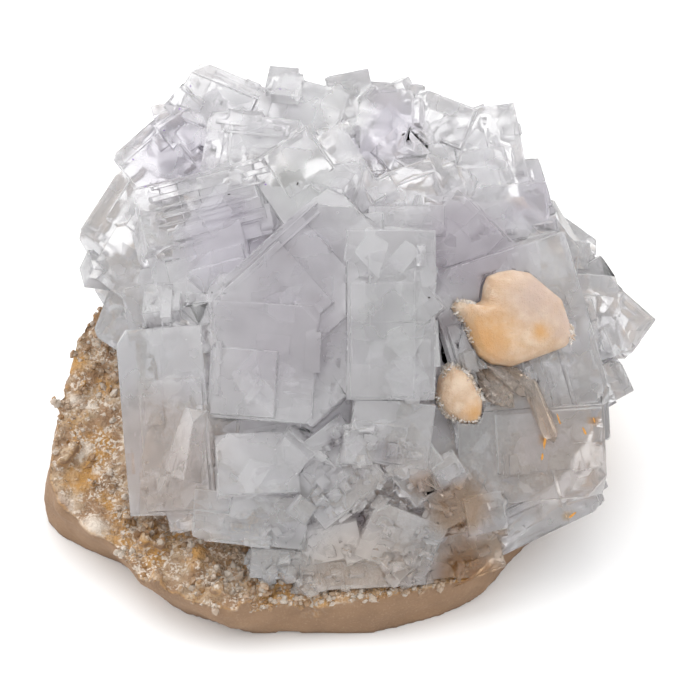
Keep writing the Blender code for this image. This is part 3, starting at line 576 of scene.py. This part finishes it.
def near_any(point, places):
    """How near a point is to the nearest of some places of the display face: 0 at it, 1 at its reach."""
    seen = DISPLAY.inverted() @ point / MM
    return min(math.hypot(seen.x - across, seen.y - up) / reach for across, up, reach in places)


cluster = cad_copy("fluorite_cluster", "fluorite_crystals")
cluster_shape = shape_of(cluster)
cluster_faces = [(face.center.copy(), face.normal.copy(), face.area) for face in cluster.data.polygons]

rng = random.Random(11)
sides = []
for face in cluster.data.polygons:
    corners = [cluster.data.vertices[index].co for index in face.vertices]
    spans = [second - first for first, second in zip(corners, corners[1:] + corners[:1])]
    along = max(spans, key=lambda span: span.length).normalized()
    turn = Matrix((along, face.normal.cross(along), face.normal)).transposed().to_4x4()
    sides.append((turn, face.area))
cluster.data.calc_loop_triangles()
triangles = list(cluster.data.loop_triangles)
areas = [triangle.area for triangle in triangles]


def on_a_face():
    """A chance point on the crystals, how its face is turned, and the face's breadth."""
    triangle = rng.choices(triangles, weights=areas)[0]
    first, second, third = (cluster.data.vertices[index].co for index in triangle.vertices)
    far, wide = math.sqrt(rng.random()), rng.random()
    point = first * (1 - far) + (second * (1 - wide) + third * wide) * far
    turn, area = sides[triangle.polygon_index]
    return point.lerp(cluster.data.polygons[triangle.polygon_index].center, PULLED_IN), turn, math.sqrt(area)


blocks = []
while len(blocks) < FLAT_STEPS:
    point, turn, breadth = on_a_face()
    seen = DISPLAY.inverted() @ point / MM
    calm = -24.0 < seen.x < 15.0 and -12.0 < seen.y < 28.0
    if breadth > 6.0 * MM and (not calm or rng.random() < 0.2):
        rise = MM * rng.uniform(*FLAT_STEP_RISE)
        size = Vector((breadth * rng.uniform(0.15, 0.6), breadth * rng.uniform(0.08, 0.4), MM + rise))
        blocks.append(block(point, turn, size, MM))
while len(blocks) < FLAT_STEPS + BLOCK_STEPS:
    point, turn, breadth = on_a_face()
    seen = DISPLAY.inverted() @ point / MM
    calm = breadth > 12.0 * MM and -24.0 < seen.x < 15.0 and -12.0 < seen.y < 28.0
    if breadth > 2.5 * MM and not calm:
        rise = MM * rng.triangular(*BLOCK_STEP_RISE, BLOCK_STEP_RISE[0])
        size = Vector((MM * rng.triangular(1.5, 8.0, 3.0), MM * rng.triangular(1.0, 6.0, 2.0), 2.0 * MM + rise))
        skew = Matrix.Rotation(rng.gauss(0.0, 0.05), 4, "X") @ Matrix.Rotation(rng.gauss(0.0, 0.05), 4, "Y")
        blocks.append(block(point, turn @ skew, size, 2.0 * MM))
while len(blocks) < FLAT_STEPS + BLOCK_STEPS + FROST_CHIPS:
    point, turn, breadth = on_a_face()
    if near_any(point, FROST_PLACES) < 1.0 and turn.col[2].to_3d().dot(OUT) > -0.2:
        size = Vector([MM * rng.triangular(0.5, 3.0, 0.9) for _ in range(3)])
        skew = Matrix.Rotation(rng.uniform(-0.9, 0.9), 4, "X") @ Matrix.Rotation(rng.uniform(-0.9, 0.9), 4, "Y")
        skew = skew @ Matrix.Shear("XY", 4, (rng.uniform(-0.6, 0.6), rng.uniform(-0.6, 0.6)))
        blocks.append(block(point, turn @ skew, size, 0.5 * size.z))
for across, up, lean, swing, roll, width, height, rise in RIDGES:
    point = seen_at(cluster_shape, across, up)
    turn = DISPLAY.to_3x3().to_4x4() @ turned(lean, swing, roll)
    blocks.append(block(point, turn, MM * Vector((width, height, rise + 2.0)), 2.0 * MM))

bevel_sharp(cluster, EDGE_BEVEL, SHORTEST_BEVELLED, SHARP)
grown_on(cluster, blocks)
map_faces(cluster, "growth")
tones = cluster.data.attributes.new("tone", "FLOAT", "FACE")
for face in cluster.data.polygons:
    corners = [cluster.data.vertices[index].co for index in face.vertices]
    longest = max((second - first).length for first, second in zip(corners, corners[1:] + corners[:1]))
    plane = [round(10 * value) for value in (*face.normal, face.center.dot(face.normal) / (8 * MM))]
    tones.data[face.index].value = random.Random(str(plane)).uniform(DULLEST, 1.0)
    face.material_index = 1 if near_any(face.center, CLEAR_PLACES) < 1.0 else 0
    worn = noise.noise(face.center / WORN_SIZE) > 0.0
    if worn and face.area < NARROW * longest:
        face.material_index = 2
cut_finer(cluster, LARGEST_FACET, CUT_ROUNDS)
wear(cluster)
select_only(cluster)
bpy.ops.object.shade_smooth_by_angle(angle=SHARP)

# The tint includes the painted see-through of the brown rock at the lower right.
tint = cluster.data.attributes.new("tint", "FLOAT_COLOR", "POINT")
tint_spots = [
    (seen_at(cluster_shape, across, up), reach * MM, Vector(over)) for across, up, reach, over in FLUORITE_TINTS
]
for vert in cluster.data.vertices:
    colour = Vector(FLUORITE_CLEAR[:3])
    for place, reach, over in tint_spots:
        apart_by = (vert.co - place).length
        if apart_by < reach:
            colour = colour.lerp(over, 1.0 - smooth_share(apart_by, 0.4 * reach, reach))
    tint.data[vert.index].color = (*colour, 1.0)


def buried(point, depth):
    """True if a point is inside the crystals, at least depth under their surface."""
    facing = cluster_shape.ray_cast(point, OUT)[1]
    inside = facing is not None and facing.dot(OUT) > 0.0
    return inside and cluster_shape.find_nearest(point)[3] > depth


def add_plate(mesh, layer, outline, thick, tone):
    """Adds a thin closed plate of one tone, red, green, blue and alpha, with its outline in the middle."""
    top = [mesh.verts.new(point + thick / 2) for point in outline]
    low = [mesh.verts.new(point - thick / 2) for point in outline]
    mesh.faces.new(top)
    mesh.faces.new(low[::-1])
    for k, n in zip(range(len(top)), [*range(1, len(top)), 0]):
        mesh.faces.new((top[k], low[k], low[n], top[n]))
    for vert in top + low:
        vert[layer] = tone


def uneven_outline(middle, turn, width, height, corners, rng):
    """The corners of an uneven flat shape, within a width and height from its middle."""
    outline = []
    for k in range(corners):
        angle = math.tau * (k + rng.uniform(-0.3, 0.3)) / corners
        spread = rng.uniform(0.6, 1.0)
        outline.append(middle + turn @ Vector((spread * width * math.cos(angle), spread * height * math.sin(angle), 0.0)))
    return outline


rng = random.Random(7)
veils = bmesh.new()
veil_tint = veils.verts.layers.float_color.new("tint")
areas = [area for _, _, area in cluster_faces]
for centre, facing, area in rng.choices(cluster_faces, weights=areas, k=VEIL_TRIES * VEILS):
    depth = MM * rng.uniform(*VEIL_DEPTH)
    reach = MM * rng.uniform(*VEIL_SIZE)
    tilt = rng.choice((0.0, CLEAVAGE, CLEAVAGE, -CLEAVAGE)) + rng.uniform(-0.15, 0.15)
    turn = facing.to_track_quat("Z", "Y").to_matrix()
    turn = turn @ Matrix.Rotation(rng.uniform(0.0, math.tau), 3, "Z") @ Matrix.Rotation(tilt, 3, "X")
    aside = turn @ Vector((rng.uniform(-1, 1), rng.uniform(-1, 1), 0.0)) * math.sqrt(area) * 0.3
    outline = uneven_outline(centre - facing * depth + aside, turn, reach, reach, rng.choice((3, 4, 4, 5, 6)), rng)
    tone = Vector(VEIL_DARK).lerp(Vector(VEIL_LIGHT), rng.choice((0.0, 0.7, 1.0)))
    if all(buried(point, 0.3 * MM) for point in outline):
        thick = turn @ Vector((0.0, 0.0, VEIL_THICKNESS))
        add_plate(veils, veil_tint, outline, thick, (*tone, rng.uniform(*VEIL_ALPHA)))
inner_veils = linked(bpy.data.objects.new("veils", bpy.data.meshes.new("veils")))
veils.to_mesh(inner_veils.data)
veils.free()

clouds = bmesh.new()
for middle, half in CLOUDS:
    lump = bmesh.ops.create_icosphere(clouds, subdivisions=5, radius=1.0)["verts"]
    middle = on_display(*middle)
    stretch = DISPLAY.to_3x3() @ Matrix.Diagonal(MM * Vector(half))
    for vert in lump:
        reach = stretch @ vert.co
        reach *= 1.0 + CLOUD_UNEVEN * noise.noise(reach / CLOUD_LUMPS)
        shares = (1.0 - 0.04 * k for k in range(24))
        vert.co = middle + reach * next((share for share in shares if buried(middle + share * reach, CLOUD_DEPTH)), 0.04)
for face in clouds.faces:
    face.smooth = True
inner_clouds = linked(bpy.data.objects.new("clouds", bpy.data.meshes.new("clouds")))
clouds.to_mesh(inner_clouds.data)
clouds.free()

def fluorite_finish(name, clearness, frosting):
    """Fluorite: its tint, growth lines and frosting. Clearness is the share of light that it lets through."""
    made, shader = finish(name, Transmission_Weight=clearness, IOR=1.434)
    tree = made.node_tree
    colour = add_node(tree, "ShaderNodeAttribute", attribute_name="tint").outputs["Color"]
    tone = add_node(tree, "ShaderNodeAttribute", attribute_name="tone").outputs["Fac"]
    patches = mottling(tree, 7.0 * MM, 0.4, 0.7, 3.0)
    colour = tinted(tree, patches, colour, (0.95, 0.945, 0.95, 1.0), "MULTIPLY")
    colour = add_node(tree, "ShaderNodeVectorMath", {0: colour, 3: tone}, operation="SCALE").outputs[0]
    tree.links.new(colour, shader.inputs["Base Color"])
    frost = add_node(tree, "ShaderNodeMapRange", {"Value": patches, "To Min": 0.4 * frosting, "To Max": frosting})
    tree.links.new(frost.outputs["Result"], shader.inputs["Roughness"])
    growth = add_node(tree, "ShaderNodeUVMap", uv_map="growth").outputs["UV"]
    lines = []
    for stretch in ((60.0, 1700.0, 1.0), (1500.0, 50.0, 1.0)):
        drawn = add_node(tree, "ShaderNodeMapping", {"Vector": growth, "Scale": stretch})
        lines.append(add_node(tree, "ShaderNodeTexNoise", {
            "Vector": drawn.outputs[0], "Scale": 1.0, "Detail": 1.0,
        }).outputs["Fac"])
    bumped(tree, shader, number(tree, "ADD", lines[0], lines[1]), 0.018 * MM)
    absorbed = add_node(tree, "ShaderNodeVolumeAbsorption", {"Color": (0.80, 0.765, 0.82, 1.0), "Density": 10.0})
    tree.links.new(absorbed.outputs[0], tree.nodes["Material Output"].inputs["Volume"])
    return made


for name, clearness, frosting in (
    ("fluorite_milky", 0.75, 0.32), ("fluorite_clear", 0.79, 0.3), ("fluorite_worn_edge", 0.65, 0.45),
):
    cluster.data.materials.append(fluorite_finish(name, clearness, frosting))

veil_finish, shader = finish("fluorite_veil", Roughness=0.4)
tree = veil_finish.node_tree
drawn = add_node(tree, "ShaderNodeAttribute", attribute_name="tint")
tree.links.new(drawn.outputs["Color"], shader.inputs["Base Color"])
tree.links.new(drawn.outputs["Alpha"], shader.inputs["Alpha"])
inner_veils.data.materials.append(veil_finish)

cloud_finish, shader = finish("fluorite_cloud", Roughness=0.9)
tree = cloud_finish.node_tree
colour = tinted(tree, mottling(tree, 6.0 * MM, 0.3, 0.7, 4.0), (0.68, 0.675, 0.69, 1.0), (0.54, 0.52, 0.545, 1.0))
tree.links.new(colour, shader.inputs["Base Color"])
inner_clouds.data.materials.append(cloud_finish)

select_only(cluster)
inner_veils.select_set(True)
inner_clouds.select_set(True)
bpy.ops.object.join()
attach(cluster, "root")
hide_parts("fluorite_cluster")


# Mineral specks
# A few streaks of orange iron stain and tiny dark and purple specks on the fluorite's faces.
# They are thin crusts that grew on it.
SPECK_THICKNESS = 0.06 * MM
SPECK_ORANGE = (0.72, 0.33, 0.05, 1.0)
SPECK_DARK = (0.05, 0.04, 0.04, 1.0)
SPECK_PURPLE = (0.33, 0.22, 0.50, 1.0)
SPECKS = (  # across, up, half length, half width in mm, turn in degrees, colour
    (32.2, -15.2, 1.5, 0.28, 75, SPECK_ORANGE), (31.8, -17.6, 0.7, 0.3, 70, SPECK_ORANGE),
    (34.5, -11.4, 1.1, 0.16, 100, SPECK_ORANGE), (38.8, -13.4, 0.9, 0.2, 105, SPECK_ORANGE),
    (40.4, -11.6, 0.6, 0.15, 100, SPECK_ORANGE), (33.2, -12.4, 0.4, 0.2, 20, SPECK_ORANGE),
    (37.0, -27.4, 0.8, 0.3, 30, SPECK_ORANGE), (-8.7, 27.5, 0.35, 0.2, 80, SPECK_DARK),
    (-22.8, 9.5, 0.25, 0.2, 0, SPECK_DARK), (8.8, 35.8, 0.4, 0.18, 40, SPECK_DARK),
    (13.0, 8.6, 0.3, 0.2, 0, SPECK_DARK), (-20.0, 25.8, 0.35, 0.12, 15, SPECK_DARK),
    (-36.2, 31.8, 0.28, 0.2, 0, SPECK_PURPLE), (-28.4, 40.2, 0.22, 0.2, 0, SPECK_PURPLE),
    (-31.0, 36.6, 0.2, 0.15, 0, SPECK_PURPLE), (-34.0, 27.2, 0.25, 0.15, 30, SPECK_PURPLE),
    (-26.6, 44.0, 0.2, 0.18, 0, SPECK_PURPLE), (-14.0, 27.4, 0.25, 0.2, 0, SPECK_PURPLE),
    (-11.6, 43.4, 0.2, 0.15, 0, SPECK_PURPLE),
)
rng = random.Random(2)
speck_mesh = bmesh.new()
speck_tint = speck_mesh.verts.layers.float_color.new("tint")
worn_shape = shape_of(cluster)
for across, up, length, width, roll, colour in SPECKS:
    middle = seen_at(worn_shape, across, up)
    facing = worn_shape.find_nearest(middle)[1]
    turn = facing.to_track_quat("Z", "Y").to_matrix() @ Matrix.Rotation(math.radians(roll), 3, "Z")
    outline = uneven_outline(middle, turn, length * MM, width * MM, 8, rng)
    add_plate(speck_mesh, speck_tint, outline, SPECK_THICKNESS * facing, colour)
specks = linked(bpy.data.objects.new("mineral_specks", bpy.data.meshes.new("mineral_specks")))
speck_mesh.to_mesh(specks.data)
speck_mesh.free()
speck_finish, shader = finish("mineral_specks", Roughness=0.7)
tree = speck_finish.node_tree
colour = add_node(tree, "ShaderNodeAttribute", attribute_name="tint").outputs["Color"]
colour = tinted(tree, mottling(tree, 0.3 * MM, 0.4, 0.6), colour, (0.7, 0.7, 0.7, 1.0), "MULTIPLY")
tree.links.new(colour, shader.inputs["Base Color"])
specks.data.materials.append(speck_finish)
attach(specks, "root")


# Drusy quartz
# Small glassy quartz crystals that line the rock's bare margin and fill the seam beside the fluorite.
# They grew from the rock and sit with their roots in it.
DRUSE_COUNT = 1000
DRUSE_SIZE = (0.15, 0.85)  # mm, radius
DRUSE_SEAM = 5.0 * MM  # how far from the fluorite the druse is thick
DRUSE_PATCH = 5.0 * MM  # size of its patches elsewhere
DRUSE_SIDES = 6
DRUSE_CLEAR = (0.92, 0.84, 0.74, 1.0)
DRUSE_STAINED = (0.52, 0.29, 0.11, 1.0)

crystal = bmesh.new()
foot = bmesh.ops.create_circle(crystal, cap_ends=True, segments=DRUSE_SIDES, radius=1.0)["verts"]
shaft = bmesh.ops.extrude_face_region(crystal, geom=crystal.faces[:])["geom"]
bmesh.ops.translate(crystal, vec=(0.0, 0.0, 1.4), verts=[v for v in shaft if isinstance(v, bmesh.types.BMVert)])
tip = bmesh.ops.poke(crystal, faces=[f for f in shaft if isinstance(f, bmesh.types.BMFace)])["verts"]
bmesh.ops.translate(crystal, vec=(0.0, 0.0, 1.0), verts=tip)
bmesh.ops.recalc_face_normals(crystal, faces=crystal.faces)
template = bpy.data.meshes.new("quartz_crystal")
crystal.to_mesh(template)
crystal.free()

rng = random.Random(3)
druse_mesh = bmesh.new()
tone = druse_mesh.verts.layers.float.new("tone")
spots = [
    face for face in rock.data.polygons
    if face.normal.z > 0.45 and face.center.y < 26.0 * MM and face.center.z > 2.0 * MM
    and cluster_shape.find_nearest(face.center)[3] > 0.3 * MM
    and cluster_shape.ray_cast(face.center, OUT)[0] is None
]
seam = [1.0 - smooth_share(cluster_shape.find_nearest(face.center)[3], 0.0, DRUSE_SEAM) for face in spots]
patchy = [smooth_share(noise.noise(face.center / DRUSE_PATCH), 0.0, 0.4) for face in spots]
weights = [0.02 + near_share + 0.6 * patch for near_share, patch in zip(seam, patchy)]
for face in rng.choices(spots, weights=weights, k=DRUSE_COUNT):
    radius = MM * rng.triangular(*DRUSE_SIZE, DRUSE_SIZE[0])
    lean = face.normal + 1.3 * Vector([rng.uniform(-1, 1) for _ in range(3)])
    turn = lean.to_track_quat("Z", "Y").to_matrix().to_4x4() @ Matrix.Rotation(rng.uniform(0, 1), 4, "Z")
    stretch = Matrix.Diagonal((radius, radius * rng.uniform(0.6, 1.0), radius * rng.uniform(0.5, 1.3), 1.0))
    start = len(druse_mesh.verts)
    druse_mesh.from_mesh(template)
    druse_mesh.verts.ensure_lookup_table()
    added = druse_mesh.verts[start:]
    bmesh.ops.transform(
        druse_mesh, matrix=Matrix.Translation(face.center - 0.9 * radius * face.normal) @ turn @ stretch, verts=added
    )
    shade = rng.random()
    for vert in added:
        vert[tone] = shade
druse = linked(bpy.data.objects.new("matrix_quartz_druse", bpy.data.meshes.new("matrix_quartz_druse")))
druse_mesh.to_mesh(druse.data)
druse_mesh.free()

druse_finish, shader = finish("drusy_quartz", Roughness=0.15, IOR=1.544, Transmission_Weight=0.55)
tree = druse_finish.node_tree
shade = add_node(tree, "ShaderNodeAttribute", attribute_name="tone").outputs["Fac"]
stain = number(tree, "MULTIPLY", shade, mottling(tree, 5.0 * MM, 0.1, 0.35))
tree.links.new(tinted(tree, stain, DRUSE_CLEAR, DRUSE_STAINED), shader.inputs["Base Color"])
druse.data.materials.append(druse_finish)
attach(druse, "root")


# Calcite
# Two rounded, peach-coloured crystals that sit on the fluorite, silky with fine growth along one way.
# The large one is orange where iron stains it, and the small one has a fringe of tiny clear points.
CALCITE_GRAIN = 0.24 * MM
CALCITE_SMOOTHING = 6
STREAK, STREAK_ACROSS, STREAK_ALONG = 0.08 * MM, 0.3 * MM, 4.0 * MM
CALCITE_GRAININESS, CALCITE_GRAINS = 0.05 * MM, 0.6 * MM
CALCITE_PEACH = (0.52, 0.345, 0.215, 1.0)
CALCITE_PINK = (0.49, 0.36, 0.30, 1.0)
CALCITE_ORANGE = (0.56, 0.29, 0.09, 1.0)
CALCITE_PALE = (0.68, 0.54, 0.41, 1.0)
CALCITE_SPOTS = {  # across, up, reach in mm, colour
    "calcite_large": (
        (31.0, 9.0, 8.5, CALCITE_PINK), (36.0, 4.5, 5.5, CALCITE_PINK), (22.6, 2.0, 8.0, CALCITE_ORANGE),
        (31.4, 3.0, 2.6, CALCITE_ORANGE), (36.8, 1.6, 3.0, CALCITE_ORANGE), (27.0, -2.6, 5.0, CALCITE_PEACH),
        (18.0, 7.0, 2.6, CALCITE_PALE),
    ),
    "calcite_small": ((18.4, -5.6, 3.0, CALCITE_PALE), (20.6, -10.4, 3.0, CALCITE_ORANGE)),
}


def calcite_piece(node, name):
    """One calcite crystal: the solid's shape, smoothed, with fine growth streaks up its face."""
    piece = remeshed(cad_copy(node, name), CALCITE_GRAIN)
    step = piece.modifiers.new("soften", "SMOOTH")
    step.iterations = CALCITE_SMOOTHING
    bpy.ops.object.modifier_apply(modifier=step.name)
    surface = [(vert, vert.co.copy(), vert.normal.copy()) for vert in piece.data.vertices]
    for vert, place, facing in surface:
        vert.co = place + facing * CALCITE_GRAININESS * noise.noise(place / CALCITE_GRAINS)
    piece.data.shade_smooth()
    made, shader = finish(
        name, Roughness=0.42, IOR=1.6, Subsurface_Weight=0.35, Subsurface_Radius=(1.0, 0.6, 0.4),
        Subsurface_Scale=1.6 * MM,
    )
    tree = made.node_tree
    colour = tinted(tree, mottling(tree, 2.4 * MM, 0.4, 0.7, 6.0), CALCITE_PEACH, CALCITE_PALE)
    shape = shape_of(piece)
    for across, up, reach, tint in CALCITE_SPOTS[node]:
        place = seen_at(shape, across, up)
        colour = tinted(tree, spot(tree, place, reach * MM, 0.7), colour, tint)
    drawn = add_node(tree, "ShaderNodeMapping", {
        "Vector": add_node(tree, "ShaderNodeTexCoord").outputs["Object"],
        "Rotation": (DISPLAY_LEAN, 0.0, 0.0), "Scale": (STREAK_ACROSS, STREAK_ALONG, STREAK_ALONG),
    }, vector_type="TEXTURE")
    streaks = add_node(tree, "ShaderNodeTexNoise", {"Vector": drawn.outputs[0], "Scale": 1.0, "Detail": 3.0})
    fine = number(tree, "ADD", streaks.outputs["Fac"], mottling(tree, 0.25 * MM, 0.3, 0.7, 6.0))
    bumped(tree, shader, fine, STREAK)
    colour = tinted(tree, number(tree, "MULTIPLY", fine, 0.1), colour, CALCITE_PALE)
    tree.links.new(colour, shader.inputs["Base Color"])
    piece.data.materials.append(made)
    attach(piece, "root")
    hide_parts(node)
    return piece


calcites = {node: calcite_piece(node, f"{node}_crystal") for node in ("calcite_large", "calcite_small")}

# Calcite fringe
# Tiny clear points that line the rim of the small calcite and the beak of the large one.
# They grew from it as a thin later crust.
FRINGE_COUNTS = {"calcite_small": 800, "calcite_large": 420}
FRINGE_PLACES = {  # where the fringe is: across, up, reach, mm
    "calcite_small": ((20.0, -5.4, 3.4), (17.6, -3.4, 2.6), (19.0, -12.0, 2.6), (15.6, -9.0, 2.4)),
    "calcite_large": ((18.4, 6.4, 2.6), (20.6, 3.4, 2.2), (37.6, 2.6, 1.8)),
}
FRINGE_SIZE = (0.09, 0.22)  # mm, radius
fringe_mesh = bmesh.new()
rng = random.Random(5)
for node, count in FRINGE_COUNTS.items():
    spots = [face for face in calcites[node].data.polygons if near_any(face.center, FRINGE_PLACES[node]) < 1.0]
    weights = [max(0.0, 0.7 - abs(face.normal.dot(OUT))) for face in spots]
    for face in rng.choices(spots, weights=weights, k=count):
        radius = MM * rng.uniform(*FRINGE_SIZE)
        lean = face.normal + 0.5 * Vector([rng.uniform(-1, 1) for _ in range(3)])
        turn = lean.to_track_quat("Z", "Y").to_matrix().to_4x4()
        stretch = Matrix.Diagonal((radius, radius, radius * rng.uniform(0.8, 2.2), 1.0))
        start = len(fringe_mesh.verts)
        fringe_mesh.from_mesh(template)
        fringe_mesh.verts.ensure_lookup_table()
        place = Matrix.Translation(face.center - radius * face.normal) @ turn @ stretch
        bmesh.ops.transform(fringe_mesh, matrix=place, verts=fringe_mesh.verts[start:])
fringe = linked(bpy.data.objects.new("calcite_fringe", bpy.data.meshes.new("calcite_fringe")))
fringe_mesh.to_mesh(fringe.data)
fringe_mesh.free()
fringe_finish, shader = finish("calcite_fringe", Roughness=0.2, IOR=1.6, Transmission_Weight=0.5)
tree = fringe_finish.node_tree
colour = tinted(tree, mottling(tree, 1.2 * MM, 0.4, 0.6), (0.92, 0.88, 0.84, 1.0), (0.88, 0.74, 0.60, 1.0))
tree.links.new(colour, shader.inputs["Base Color"])
fringe.data.materials.append(fringe_finish)
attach(fringe, "root")


# Smoky quartz
# A few clear, brown prisms that grew together between the calcite crystals. They are rooted in the fluorite.
SMOKY_BEVEL = 0.07 * MM
smoky = cad_copy("smoky_quartz", "smoky_quartz_prisms")
bevel_sharp(smoky, SMOKY_BEVEL, 0.5 * MM, SHARP)
select_only(smoky)
bpy.ops.object.shade_smooth_by_angle(angle=SHARP)
smoky_finish, shader = finish("smoky_quartz", Base_Color=(0.98, 0.88, 0.78, 1.0), Transmission_Weight=0.94, IOR=1.544)
tree = smoky_finish.node_tree
frost = add_node(tree, "ShaderNodeMapRange", {
    "Value": mottling(tree, 2.0 * MM, 0.4, 0.7, 6.0), "To Min": 0.02, "To Max": 0.1,
}).outputs["Result"]
tree.links.new(frost, shader.inputs["Roughness"])
absorbed = add_node(tree, "ShaderNodeVolumeAbsorption", {"Color": (0.84, 0.70, 0.57, 1.0), "Density": 110.0})
tree.links.new(absorbed.outputs[0], tree.nodes["Material Output"].inputs["Volume"])
smoky.data.materials.append(smoky_finish)
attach(smoky, "root")
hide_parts("smoky_quartz")
